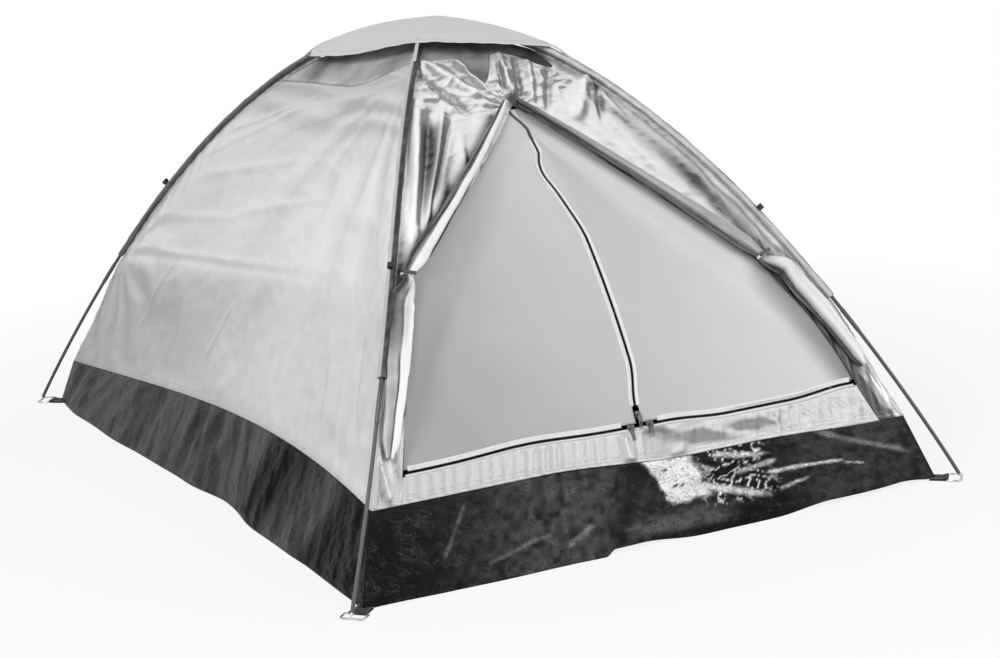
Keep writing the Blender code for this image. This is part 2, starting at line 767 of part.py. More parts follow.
def door_leaf(name, sign):
    """One half of the mesh door inside its fold line, with its two zip coils sewn on."""
    low = ZIP_LINE + 0.0064
    heights = sorted([*spread(low, LEAF_TOP - 0.004, 15), PARK_TOP - 0.003, PARK_TOP], reverse=True)
    rows = []
    for height in heights:
        inner = COIL_GAP + COIL_WIDTH - 0.0005
        if height < PARK_TOP - 0.001:
            inner = 0.0078
        outer = fold_at(height)[0] - FOLD_GAP
        rows.append([
            leaf_surface(sign * (outer + (inner - outer) * t), height) + BOTTOM_OUT * MESH / 2
            for t in (0.0, 0.2, 0.4, 0.6, 0.8, 0.96, 1.0)
        ])
    cloth = sheet("leaf_cloth", rows, GREY_MESH, MESH)
    centre_spots = []
    for height in spread(PARK_TOP + 0.001, LEAF_TOP - 0.005, 16):
        centre_spots.append((
            Vector((sign * COIL_GAP, -zip_out(height), height)),
            out_of_zip(height),
        ))
    centre = zip_strip("centre_coil", centre_spots, Vector((sign, 0.0, 0.0)), CUTTERS)
    bottom_spots = []
    for x in (PARK_SIDE, FOLD_FOOT_X - 0.028):
        spot = BOTTOM_SPOT + BOTTOM_UP * COIL_GAP + Vector((sign * x, 0.0, 0.0))
        bottom_spots.append((spot, BOTTOM_OUT))
    bottom = zip_strip("bottom_coil", bottom_spots, BOTTOM_UP * 2.15, CUTTERS)
    leaf = smooth(combine(name, [cloth, centre, bottom], GREY_MESH))
    return pivot_at(leaf, Vector((sign * FOLD_FOOT.x, FOLD_FOOT.y, FOLD_FOOT.z)))


def door_margin(name, sign):
    """The sewn-in part of the mesh between the fold line and the doorway's edge."""
    low = ZIP_LINE + 0.0078
    heights = [DOOR_APEX - 0.012, LEAF_TOP + 0.020, LEAF_TOP + 0.0005, LEAF_TOP - 0.004]
    heights += spread(LEAF_TOP - 0.05, low, 10)
    rows = []
    for height in heights:
        inner = 0.0016 if height >= LEAF_TOP else fold_at(height)[0] + FOLD_GAP
        outer = max(door_edge_x(height) - 0.0008, inner + 0.003)
        rows.append([
            margin_surface(sign * (inner + (outer - inner) * t), height)
            for t in spread(0.0, 1.0, 4)
        ])
    return smooth(sheet(name, rows, GREY_MESH, MESH))


def sill_zip():
    """The lower coil of the bottom zip, sewn along the top of the sill."""
    base = BOTTOM_SPOT - BOTTOM_UP * COIL_GAP
    spots = [(base + Vector((x, 0.0, 0.0)), BOTTOM_OUT) for x in (-0.545, 0.545)]
    return zip_strip("zip_sill", spots, -BOTTOM_UP, TENT)


# Zip sliders and their pull tabs
def slider_frame(middle, travel, outward):
    """A matrix whose X is the way of travel, Z points outward and Y lies across the zip."""
    across = outward.cross(travel)
    rows = [(*[axis[i] for axis in (travel, across, outward)], middle[i]) for i in range(3)]
    return Matrix((*rows, (0, 0, 0, 1)))


def zip_slider(name, frame, bar_across, pivot):
    """Two plates on a post, with a bar on top that the pull tab hangs from."""
    shapes = [box("front_plate", (SLIDER_LONG, SLIDER_WIDE, PLATE),
                  Matrix.Translation((0, 0, PLATE_INNER + PLATE / 2)))]
    shapes.append(box("back_plate", (SLIDER_LONG, SLIDER_WIDE, PLATE),
                      Matrix.Translation((0, 0, -PLATE_INNER - PLATE / 2))))
    post_height = 2 * PLATE_INNER + PLATE
    shapes.append(box("post", (0.0034, 0.0018, post_height), Matrix.Translation((0.0050, 0, 0))))
    turn = Matrix.Identity(4) if bar_across else Matrix.Rotation(math.pi / 2, 4, "Z")
    top = PLATE_INNER + PLATE
    ear_height = BAR_HEIGHT + 0.0012 - top + 0.0004
    for side in (-1, 1):
        spot = Matrix.Translation((0, side * 0.0028, top - 0.0004 + ear_height / 2))
        shapes.append(box("ear", (0.0040, 0.0013, ear_height), turn @ spot))
    bar = Matrix.Translation((0, 0, BAR_HEIGHT)) @ Matrix.Rotation(math.pi / 2, 4, "X")
    shapes.append(cylinder("bar", BAR_RADIUS, 0.0060, turn @ bar, sides=8))
    made = combine(name, shapes, ZINC)
    made.data.transform(frame)
    return pivot_at(made, pivot)


def pull_tab(name, frame, bar_across):
    """A flat tab with an eye round the slider's bar; it hangs down along the wall."""
    turn = Matrix.Identity(4) if bar_across else Matrix.Rotation(math.pi / 2, 4, "Z")
    eye = turn @ Matrix.Translation((0, 0, BAR_HEIGHT)) @ Matrix.Rotation(math.pi / 2, 4, "X")
    shapes = [cylinder("eye", 0.0022, 0.0034, eye, sides=12)]
    plate_middle = -(TAB_LONG / 2 + 0.0016)
    shapes.append(box("tab", (TAB_LONG, TAB_WIDE, TAB_THICK),
                      turn @ Matrix.Translation((plate_middle - 0.0012, 0, BAR_HEIGHT))))
    shapes.append(box("neck", (0.0045, 0.0030, TAB_THICK * 0.85),
                      turn @ Matrix.Translation((-0.0030, 0, BAR_HEIGHT))))
    cuts = [cylinder("bore", 0.0012, 0.0060, eye, sides=12)]
    slot = turn @ Matrix.Translation((plate_middle - 0.0060, 0, BAR_HEIGHT))
    cuts.append(box("slot", (0.0090, 0.0030, 0.0060), slot))
    made = combine(name, shapes, ZINC, cuts)
    made.data.transform(frame)
    return pivot_at(made, frame @ Vector((0.0, 0.0, BAR_HEIGHT)))


def zips():
    """The three sliders with their tabs, parked where the zips meet."""
    park = ZIP_LINE + 0.0215
    centre = slider_frame(
        Vector((0.0, -zip_out(park), park)),
        Vector((0.0, out_of_zip(park).z, -out_of_zip(park).y)),
        out_of_zip(park),
    )
    arc_middle = Vector((0.0, -ARC_OUT, ARC_HEIGHT))
    zip_slider("slider_centre", centre, bar_across=True, pivot=arc_middle)
    pull_tab("pull_tab_centre", centre, bar_across=True)
    for word, sign in (("left", -1), ("right", 1)):
        spot = BOTTOM_SPOT + Vector((sign * 0.0235, 0.0, 0.0))
        travel = Vector((1.0, 0.0, 0.0)) * sign
        frame = slider_frame(spot, travel, BOTTOM_OUT)
        zip_slider(f"slider_bottom_{word}", frame, bar_across=False, pivot=spot)
        hang = frame if sign > 0 else frame @ Matrix.Rotation(math.pi, 4, "Z")
        pull_tab(f"pull_tab_bottom_{word}", hang, bar_across=False)


# Outer door halves, rolled up and tied beside the doorway
def front_normal(height):
    """The direction square to the front wall at a height."""
    low, high = front_at(height - 0.01)[1], front_at(height + 0.01)[1]
    return Vector((0.0, -0.02, low - high)).normalized()


def roll_route(sign):
    """The middle line of a rolled door half, with its half width and half thickness at each point."""
    spots = []
    for share in spread(0.0, 1.0, 8):
        height = DOOR_APEX + 0.004 + (SHOULDER.z + 0.004 - DOOR_APEX - 0.004) * share
        x = 0.020 + (SHOULDER_X + 0.012 - 0.020) * share
        wide = 0.0085 + 0.0130 * math.sin(math.pi * share**1.2)
        spots.append((x, height, wide))
    for share in spread(0.12, 1.0, 8):
        height = SHOULDER.z + (0.262 - SHOULDER.z) * share
        x = front_at(height)[0] * 0.945
        wide = 0.0085 + 0.0120 * smoothstep(0.0, 0.55, share)
        spots.append((x, height, wide))
    points = []
    for x, height, wide in spots:
        outward = front_normal(height)
        base = Vector((sign * x, -front_at(height)[1], height))
        thick = 0.0030 + 0.52 * wide
        points.append((base + outward * (thick + 0.0045), outward, wide, thick))
    return points


def rolled_flap(name, sign):
    """A door half rolled on itself: a soft tube with two long folds, waisted at its tie."""
    route = roll_route(sign)
    rings = []
    for number, (point, outward, wide, thick) in enumerate(route):
        before = route[max(number - 1, 0)][0]
        after = route[min(number + 1, len(route) - 1)][0]
        along = (after - before).normalized()
        across = along.cross(outward).normalized()
        up = across.cross(along).normalized()
        ring = []
        for step in range(10):
            turn = 2 * math.pi * step / 10
            fold = 1 + 0.10 * math.cos(3 * turn + 0.35 * number) * min(number, 3) / 3
            ring.append(point + across * wide * fold * math.cos(turn) + up * thick * fold * math.sin(turn))
        rings.append(ring)
    return smooth(loft(name, rings, SILVER), 60)


def flap_tie(name, sign):
    """An elastic loop round the waist of a rolled flap, with its toggle."""
    route = roll_route(sign)
    waist, outward, wide, thick = route[7]
    along = (route[8][0] - route[6][0]).normalized()
    across = along.cross(outward).normalized()
    up = across.cross(along).normalized()
    radius = wide + 0.0030
    rings = []
    for step in range(14):
        turn = 2 * math.pi * step / 14
        way = across * math.cos(turn) + up * math.sin(turn)
        middle = waist + across * radius * math.cos(turn) + up * (thick + 0.0030) * math.sin(turn)
        wide, thin = along * 0.0030, way * 0.0009
        rings.append([middle - wide - thin, middle + wide - thin, middle + wide + thin, middle - wide + thin])
    loop = loft("loop", rings, ELASTIC, closed=True, collection=CUTTERS)
    bar_axis = up.to_track_quat("Z", "Y").to_matrix().to_4x4()
    lay = across.to_track_quat("Z", "Y").to_matrix().to_4x4()
    spot = Matrix.Translation(waist + up * (thick + 0.0062))
    toggle = cylinder("toggle", 0.0038, 0.030, spot @ lay, sides=10)
    stem = cylinder("stem", 0.0018, 0.0060, Matrix.Translation(waist + up * (thick + 0.0040)) @ bar_axis, sides=8)
    return smooth(combine(name, [loop, stem, toggle], ELASTIC))


# Corners: steel pin and ring in each pole end, held by a webbing tape from the floor
def foot_line(corner):
    """The end of a pole at a corner, its axis pointing up into it, and the way outward."""
    pole, far_end = CORNER_POLES[corner]
    _, corners = POLES[pole]
    end, inner = (corners[-1], corners[-2]) if far_end else (corners[0], corners[1])
    end, inner = Vector(end), Vector(inner)
    axis = (inner - end).normalized()
    x_sign, y_sign = CORNERS[corner]
    outward = (Vector((x_sign * FOOT_X, y_sign * FOOT_Y, 0)) - Vector((x_sign * FLOOR_X, y_sign * FLOOR_Y, 0)))
    return end, axis, outward.normalized()


def corner_pin(corner):
    """A wire ring on the ground with a pin that stands up into the pole's bore."""
    end, axis, outward = foot_line(corner)
    base = end - axis * ((end.z - RING_HEIGHT) / axis.z)
    sideways = Vector((-outward.y, outward.x, 0.0))
    half, long, cut = RING_HALF_WIDTH, RING_LENGTH, RING_CUT
    outline = [(0, -half + cut), (0, half - cut), (-cut, half), (-long + cut, half),
               (-long, half - cut), (-long, -half + cut), (-long + cut, -half), (-cut, -half)]
    points = [base + outward * a + sideways * b for a, b in outline]
    ring = wire_mesh("ring", points, RING_WIRE, STEEL, cyclic=True)
    turn = axis.to_track_quat("Z", "Y").to_matrix().to_4x4()
    reach = (end - base).length + PIN_DEPTH
    shank = cylinder("shank", 0.0020, reach, Matrix.Translation(base + axis * reach / 2) @ turn, sides=10)
    collar = cylinder("collar", 0.0045, 0.0032, Matrix.Translation(end - axis * 0.0020) @ turn, sides=10)
    return smooth(combine(f"corner_pin_{corner}", [shank, collar, ring], STEEL))


def corner_webbing(corner):
    """A tape sewn under the floor's corner, folded round the ring's inner bar."""
    end, axis, outward = foot_line(corner)
    base = end - axis * ((end.z - RING_HEIGHT) / axis.z)
    x_sign, y_sign = CORNERS[corner]
    start = Vector((x_sign * FLOOR_X, y_sign * FLOOR_Y, 0.0)) - outward * 0.012
    bar = base - outward * RING_LENGTH
    bar_reach = (bar - start).dot(outward)
    turn_radius = RING_WIRE + 0.0005 + WEB_THICK / 2
    low = RING_HEIGHT - turn_radius
    path = [(0.0, low), (bar_reach, low)]
    for step in range(1, 6):
        angle = -math.pi / 2 + math.pi * step / 6
        path.append((bar_reach + turn_radius * math.cos(angle), RING_HEIGHT + turn_radius * math.sin(angle)))
    path += [(bar_reach, RING_HEIGHT + turn_radius), (bar_reach - 0.010, 0.0044), (0.0, low + 0.0017)]
    sideways = Vector((-outward.y, outward.x, 0.0)) * (WEB_WIDTH / 2)
    rings = []
    for number, (along, height) in enumerate(path):
        before, after = path[max(number - 1, 0)], path[min(number + 1, len(path) - 1)]
        run = Vector((after[0] - before[0], after[1] - before[1])).normalized()
        out_step = (outward * -run.y + Vector((0, 0, run.x))) * (WEB_THICK / 2)
        middle = start + outward * along
        middle.z = height
        rings.append([
            middle - sideways - out_step,
            middle + sideways - out_step,
            middle + sideways + out_step,
            middle - sideways + out_step,
        ])
    return loft(f"corner_webbing_{corner}", rings, WEBBING)


def guy_loop(corner):
    """A short tape loop on the outer side of a sleeve, for a guy line."""
    pole, far_end = CORNER_POLES[corner]
    point, along, sideways, outward = pole_spot(pole, place_of_rho(pole, GUY_RHO, far_end))
    reach = SLEEVE_HALF_HEIGHT + 0.0014
    rings = []
    for step in range(12):
        turn = 2 * math.pi * step / 12
        middle = point + outward * (reach + GUY_LONG / 2 * (1 - math.cos(turn)))
        middle += sideways * 0.0075 * math.sin(turn)
        way = (outward * -math.cos(turn) * 0.6 + sideways * math.sin(turn)).normalized()
        high, thin = along * (GUY_HIGH / 2), way * 0.0008
        rings.append([middle - high - thin, middle + high - thin, middle + high + thin, middle - high + thin])
    return loft(f"guy_loop_{corner}", rings, WEBBING, closed=True)


# The tent, from the ground up
tub()
for wall_side in ("left", "right", "back"):
    plain_wall(wall_side)
front_header()
front_panel("front_panel_left", -1)
front_panel("front_panel_right", 1)
door_sill()
roof_mesh()
vent_cap()
for pole_name in POLES:
    shock_cord(pole_name)
    for section in range(SECTIONS):
        pole_section(pole_name, section)
for corner_name in CORNERS:
    sleeve(corner_name)
    corner_pin(corner_name)
    corner_webbing(corner_name)
    guy_loop(corner_name)
door_leaf("door_leaf_left", -1)
door_leaf("door_leaf_right", 1)
door_margin("door_margin_left", -1)
door_margin("door_margin_right", 1)
sill_zip()
zips()
rolled_flap("rolled_flap_left", -1)
rolled_flap("rolled_flap_right", 1)
flap_tie("flap_tie_left", -1)
flap_tie("flap_tie_right", 1)

print("arc of the centre zip: y", round(-ARC_OUT, 5), "z", round(ARC_HEIGHT, 5), "radius", round(ARC_RADIUS, 5))
print("fold foot", [round(v, 5) for v in FOLD_FOOT], "fold top", [round(v, 5) for v in FOLD_TOP])
print("bottom zip", [round(v, 5) for v in BOTTOM_SPOT], "out", [round(v, 5) for v in BOTTOM_OUT])
print("pole length", round(float(POLES["a"][0][-1] - POLES["a"][0][0]), 4))
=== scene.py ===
# %% [markdown]
# # A dome tent on two crossed poles
# The tent stands on the shop floor, seen from its front left corner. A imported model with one
# solid for each piece is loaded first. The cloth, the netting, the zips and the poles are then
# made again with their real folds, seams and finishes, each in the place of its solid.

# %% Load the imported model
import contextlib
import math

import bmesh
import bpy
import numpy as np
from mathutils import Matrix, Vector


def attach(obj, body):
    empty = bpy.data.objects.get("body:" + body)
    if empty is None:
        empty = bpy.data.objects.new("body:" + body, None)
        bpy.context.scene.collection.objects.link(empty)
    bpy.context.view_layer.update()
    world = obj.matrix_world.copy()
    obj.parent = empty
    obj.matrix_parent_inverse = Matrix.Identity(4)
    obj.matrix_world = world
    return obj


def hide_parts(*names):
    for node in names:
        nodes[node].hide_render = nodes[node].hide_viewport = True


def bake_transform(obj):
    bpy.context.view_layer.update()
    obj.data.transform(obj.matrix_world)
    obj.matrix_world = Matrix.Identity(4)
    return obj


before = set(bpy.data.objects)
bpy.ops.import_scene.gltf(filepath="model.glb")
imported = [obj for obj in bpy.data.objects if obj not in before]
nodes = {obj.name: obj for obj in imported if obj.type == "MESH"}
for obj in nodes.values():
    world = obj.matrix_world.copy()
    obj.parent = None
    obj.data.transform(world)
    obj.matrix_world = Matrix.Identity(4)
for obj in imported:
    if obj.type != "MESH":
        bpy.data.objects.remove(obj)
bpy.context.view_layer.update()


def placed(name, data):
    """A new object in the scene."""
    made = bpy.data.objects.new(name, data)
    bpy.context.scene.collection.objects.link(made)
    return made


# %% [markdown]
# ## The camera
# A camera far away with a long lens keeps the poles of the tent nearly parallel. It stands to the
# left of the door, well above the tent, and is tipped slightly to one side. The three angles, the
# point it aims at, its distance and the lens are the whole recipe.

# %% Camera
AZIMUTH, ELEVATION, ROLL = (math.radians(v) for v in (-27.089, 13.504, -3.188))
AIM, DISTANCE, LENS = Vector((0.1357, 0.0, 0.2522)), 5.7183, 83.11


def camera_matrix():
    """The camera's place and turn, from where it aims."""
    back = Vector((math.sin(AZIMUTH) * math.cos(ELEVATION), -math.cos(AZIMUTH) * math.cos(ELEVATION),
                   math.sin(ELEVATION)))
    level = Vector((0, 0, 1)).cross(back).normalized()
    upright = back.cross(level)
    right = level * math.cos(ROLL) + upright * math.sin(ROLL)
    up = upright * math.cos(ROLL) - level * math.sin(ROLL)
    turn = Matrix((right, up, back)).transposed().to_4x4()
    return Matrix.Translation(AIM + back * DISTANCE) @ turn


camera = placed("camera", bpy.data.cameras.new("camera"))
camera.data.lens, camera.data.sensor_width = LENS, 36.0
camera.matrix_world = camera_matrix()
bpy.context.scene.camera = camera
print("camera at", [round(v, 3) for v in camera.location])

# %% [markdown]
# ## The curve that everything hangs from
# A glass-fibre pole pushed into a bow is nearly round at the top and straighter towards its feet.
# One formula gives it, from the crossing, 0, to a foot, 1. The seam between two walls runs just
# inside the pole, so each wall is a set of straight lines from one seam to the next.

# %% The arch of a pole and the seams inside it
FOOT_X, FOOT_Y, APEX = 0.750, 1.025, 1.015
ARCH_POWER, ARCH_FULLNESS, ARCH_BOW = 1.93, 0.952, 0.033
HALF_DIAGONAL = math.hypot(FOOT_X, FOOT_Y)
SLEEVE_END, TUB_TOP = 0.775, 0.915
INSET_SLEEVE, INSET_FOOT, SEAM_GAP = 0.0084, 0.032, 0.0022


def smoothstep(low, high, value):
    """Runs from 0 to 1 between low and high with flat ends."""
    t = np.clip((value - low) / (high - low), 0.0, 1.0)
    return t * t * (3 - 2 * t)


def hump(middle, width, value):
    """A soft hump of height 1."""
    return np.exp(-(((value - middle) / width) ** 2))


def unit(way):
    """The same direction with a length of 1."""
    return way / np.linalg.norm(way, axis=-1, keepdims=True)


def distance_along(points, axis=0):
    """The distance of each point of a line or a grid from its start."""
    first = np.take(points, [0], axis)
    return np.linalg.norm(np.diff(points, axis=axis, prepend=first), axis=-1).cumsum(axis)


def arch(rho):
    """Points of a pole's axis, as across, back and up."""
    rho = np.asarray(rho, float)
    rise = np.clip(1 - rho**ARCH_POWER, 0, None) ** ARCH_FULLNESS
    bow = ARCH_BOW * 4 * rise * (1 - rise)
    return np.stack([rho * FOOT_X - bow * FOOT_Y / HALF_DIAGONAL,
                     rho * FOOT_Y + bow * FOOT_X / HALF_DIAGONAL, APEX * rise], -1)


def arch_normal(rho):
    """The way square to the arch, outward."""
    run = arch(np.minimum(rho + 0.004, 1.0)) - arch(np.maximum(rho - 0.004, 0.0))
    flat = np.hypot(run[..., 0], run[..., 1])
    return unit(np.stack([-run[..., 0] * run[..., 2] / flat, -run[..., 1] * run[..., 2] / flat, flat], -1))


def seam(rho):
    """The corner seam between two walls, inside the pole."""
    rho = np.asarray(rho, float)
    inset = INSET_SLEEVE + (INSET_FOOT - INSET_SLEEVE) * smoothstep(SLEEVE_END, 0.90, rho)
    return arch(rho) - arch_normal(rho) * inset[..., None]


RHO_TABLE = np.linspace(0.02, 0.97, 900)
SEAM_TABLE = seam(RHO_TABLE)


def seam_at(height):
    """Half width and distance outward of the seam at a height."""
    return (np.interp(-height, -SEAM_TABLE[:, 2], SEAM_TABLE[:, 0]),
            np.interp(-height, -SEAM_TABLE[:, 2], SEAM_TABLE[:, 1]))


def rho_at(height):
    """The place on the arch of a height of the seam."""
    return np.interp(-height, -SEAM_TABLE[:, 2], RHO_TABLE)


print("the walls reach", round(float(seam(TUB_TOP)[2]), 3), "m above the ground at the tub")

# %% [markdown]
# ## Walls between the seams
# Each point of a wall has an address: how far along the wall it lies, from -1 to 1, and how far
# down the arch. The long walls hang in a little between the poles, and one pulled fold crosses
# each of them. The mesh roof ends lower at the back than at the front, where straps pull it up.

# %% Addresses on a wall
ROOF_EDGE_BACK, ROOF_EDGE_FRONT, WALL_SLACK = 0.350, 0.205, 0.018
SIDES, SHORT_SIDES = ("front", "right", "back", "left"), ("front", "back")
MIDDLE = np.array([0.0, 0.0, 0.30])


def on_side(side, along, out, height):
    """Points given by their place along a side, their distance outward and their height."""
    along, out, height = np.broadcast_arrays(along, out, height)
    across = {"front": (along, -out), "back": (-along, out), "right": (out, along), "left": (-out, -along)}
    return np.stack([*across[side], height], -1)


def half_and_out(side, point):
    """A corner's half width along a side, and its distance outward."""
    across, back = point[..., 0], point[..., 1]
    return (across, back) if side in SHORT_SIDES else (back, across)


def forward_on(side, s):
    """How far forward a place on a long wall lies, from -1 to 1."""
    return s if side == "left" else -s


def roof_edge(side, s):
    """Where the mesh roof ends on a wall; over the doorway the cloth is pulled down into a notch."""
    if side == "back":
        return ROOF_EDGE_BACK - 0.015 * (1 - s * s)
    if side == "front":
        notch = np.clip(1 - np.abs(s + 0.135) / np.where(s < -0.135, 0.27, 0.45), 0, 1)
        notch = 0.100 * (0.35 * smoothstep(0, 1, notch) + 0.65 * notch**1.4) + 0.085 * hump(0.82, 0.20, s)
        return ROOF_EDGE_FRONT + notch * (1 - s**10)
    forward = (1 + forward_on(side, s)) / 2
    drop = ROOF_EDGE_BACK - ROOF_EDGE_FRONT
    return ROOF_EDGE_BACK - drop * (0.32 * forward + 0.68 * smoothstep(0.48, 1.0, forward))


def tub_edge(side, s):
    """Where the walls are sewn to the groundsheet, drawn up along the left side."""
    if side == "front":
        return TUB_TOP - 0.0105 + 0.0105 * smoothstep(-0.45, 0.20, s) + 0.006 * smoothstep(0.45, 1.0, s)
    if side == "left":
        return TUB_TOP + 0.0055 - 0.016 * s - (0.0255 + 0.013 * s) * (1 - s * s)
    if side == "right":
        return TUB_TOP + 0.0105 + 0.0045 * s - 0.012 * (1 - s * s)
    return TUB_TOP + 0.01825 + 0.00325 * s


def share_down(rho):
    """How far down a wall a place is, from 0 at the roof to 1 at the tub."""
    return np.clip((rho - ROOF_EDGE_BACK) / (TUB_TOP - ROOF_EDGE_BACK), 0.0, 1.0)


def fold_line(side, s):
    """Where the pulled fold crosses a long wall, higher towards the front."""
    return 0.60 + 0 * s if side in SHORT_SIDES else 0.63 - 0.09 * forward_on(side, s)


def wall(side, s, rho):
    """Points of a wall."""
    corner = seam(rho)
    half, out = half_and_out(side, corner)
    slack = 0.0
    if side != "front":
        down = share_down(rho)
        slack = WALL_SLACK * (1 - s * s) * np.sin(math.pi * (0.15 + 0.75 * down))
        slack -= 0.006 * hump(fold_line(side, s), 0.10, down) * (1 - s * s)
    return on_side(side, s * (half - SEAM_GAP), out - slack, corner[..., 2])


def metres(side, s, rho):
    """The same addresses in metres of cloth: along the wall and down it."""
    profile = SEAM_TABLE[:, 1:] if side in SHORT_SIDES else SEAM_TABLE[:, ::2]
    return s * half_and_out(side, seam(rho))[0], np.interp(rho, RHO_TABLE, distance_along(profile))


def spot_in_metres(side, s, rho):
    """One address in metres, as plain numbers."""
    return tuple(float(part) for part in metres(side, s, rho))


print("the front wall is", round(float(np.ptp(metres("front", 0.0, np.array([0.225, TUB_TOP]))[1])), 3), "m long")

# %% [markdown]
# ## Folds
# Thin coated cloth has three kinds of fold. Folds fan out from a point that pulls on it, small
# ripples stand across a seam that gathers it, and crumples are left over from the packing bag.
# Noise with fixed numbers inside gives the same crumples each time the file runs.

# %% Fold helpers
def lattice(i, j, seed):
    """A fixed number between -1 and 1 for each crossing of a lattice."""
    n = (i * 374761393 + j * 668265263 + seed * 974634777) & 0x7FFFFFFF
    n = ((n ^ (n >> 13)) * 1274126177) & 0x7FFFFFFF
    return (n ^ (n >> 16)) / 0x3FFFFFFF - 1.0


def noise(u, v, seed):
    """Smooth noise between -1 and 1, one wave to a unit."""
    u, v = np.broadcast_arrays(np.asarray(u, float), np.asarray(v, float))
    i, j = np.floor(u).astype(np.int64), np.floor(v).astype(np.int64)
    a, b = u - i, v - j
    a, b = a**3 * (a * (a * 6 - 15) + 10), b**3 * (b * (b * 6 - 15) + 10)
    low = lattice(i, j, seed) * (1 - a) + lattice(i + 1, j, seed) * a
    high = lattice(i, j + 1, seed) * (1 - a) + lattice(i + 1, j + 1, seed) * a
    return low * (1 - b) + high * b


def crumple(u, v, size, seed):
    """Crumples of about a size in metres, with sharp ridges between soft hollows."""
    bend = noise(u / size * 0.6, v / size * 0.6, seed + 7) * 0.6
    first = 1 - 2 * np.abs(noise(u / size + bend, v / size - bend, seed)) ** 0.8
    second = 1 - 2 * np.abs(noise(u / size * 2.1 - bend, v / size * 2.1 + bend, seed + 3)) ** 0.8
    return 0.65 * first + 0.35 * second


def fan(u, v, centre, count, reach, seed, sharp=0.7):
    """Folds that run out of one pulled point, strongest at some distance from it."""
    du, dv = u - centre[0], v - centre[1]
    angle, far = np.arctan2(dv, du), np.hypot(du, dv) + 1e-6
    wave = np.sin(count * angle + 1.6 * noise(angle * 2.2, far / reach * 1.4, seed))
    ridge = np.sign(wave) * np.abs(wave) ** sharp
    return ridge * np.minimum(far / reach, 1.0) * np.exp(1 - np.maximum(far / reach, 1.0))


def pulled_fold(u, v, start, end, width, height):
    """One fold along a straight line between two places, soft at its ends."""
    run = np.subtract(end, start)
    long = math.hypot(*run)
    along = ((u - start[0]) * run[0] + (v - start[1]) * run[1]) / long**2
    beside = ((u - start[0]) * run[1] - (v - start[1]) * run[0]) / long
    return height * hump(0.0, width, beside) * smoothstep(-0.12, 0.15, along) * smoothstep(1.12, 0.80, along)


def with_folds(folds, u, v, table, address=tuple):
    """Adds the folds of a table; each row gives start, end, width and height."""
    for start, end, width, height in table:
        folds += pulled_fold(u, v, address(start), address(end), width, height)
    return folds


def tone_of(base, folds, depth, lift):
    """Painted light and shade on the folds: bright on ridges and on facets turned up, dark in hollows and on
    undersides.
    """
    tilt = grid_normals(pushed(base, folds)) - grid_normals(base)
    return np.clip(0.5 + 0.5 * folds / depth + lift * tilt[..., 2] * 3.0, 0.0, 1.0)


def edge_window(value, low, high, width):
    """1 inside a range and 0 at its ends."""
    return smoothstep(0, width, value - low) * smoothstep(0, width, high - value)


print("crumples run from", round(float(crumple(np.linspace(0, 1, 500), 0.3, 0.04, 1).min()), 2), "to 1")

# %% [markdown]
# ## Shader maths
# A small class wraps one socket of a node tree, so that a pattern can be written as a sum:
# 1 - mask * 0.5 adds the Math nodes by itself. All other nodes come from one method.

# %% Shader maths
def fill(tree, slot, value):
    """Links a number to a socket, or writes a plain value there."""
    if isinstance(value, Number):
        tree.links.new(value.socket, slot)
    else:
        slot.default_value = value


class Number:
    """One output that takes part in sums."""

    def __init__(self, tree, socket):
        self.tree, self.socket = tree, socket

    def join(self, operation, *terms):
        node = self.tree.nodes.new("ShaderNodeMath")
        node.operation = operation
        for slot, term in zip(node.inputs, terms):
            fill(self.tree, slot, term)
        return Number(self.tree, node.outputs[0])

    def __add__(self, other): return self.join("ADD", self, other)
    def __radd__(self, other): return self.join("ADD", other, self)
    def __sub__(self, other): return self.join("SUBTRACT", self, other)
    def __rsub__(self, other): return self.join("SUBTRACT", other, self)
    def __mul__(self, other): return self.join("MULTIPLY", self, other)
    def __rmul__(self, other): return self.join("MULTIPLY", other, self)
    def sine(self): return self.join("SINE", self)
    def absolute(self): return self.join("ABSOLUTE", self)
    def clamp(self): return self.join("MINIMUM", self.join("MAXIMUM", self, 0.0), 1.0)
    def over(self, limit): return self.join("GREATER_THAN", self, limit)


def mixed(tree, factor, first, second):
    """Two colours mixed by a number."""
    made = tree.nodes.new("ShaderNodeMix")
    made.data_type = "RGBA"
    fill(tree, made.inputs["Factor"], factor)
    for slot, value in ((made.inputs[6], first), (made.inputs[7], second)):
        fill(tree, slot, value if isinstance(value, Number) else (*value, 1.0))
    return Number(tree, made.outputs[2])


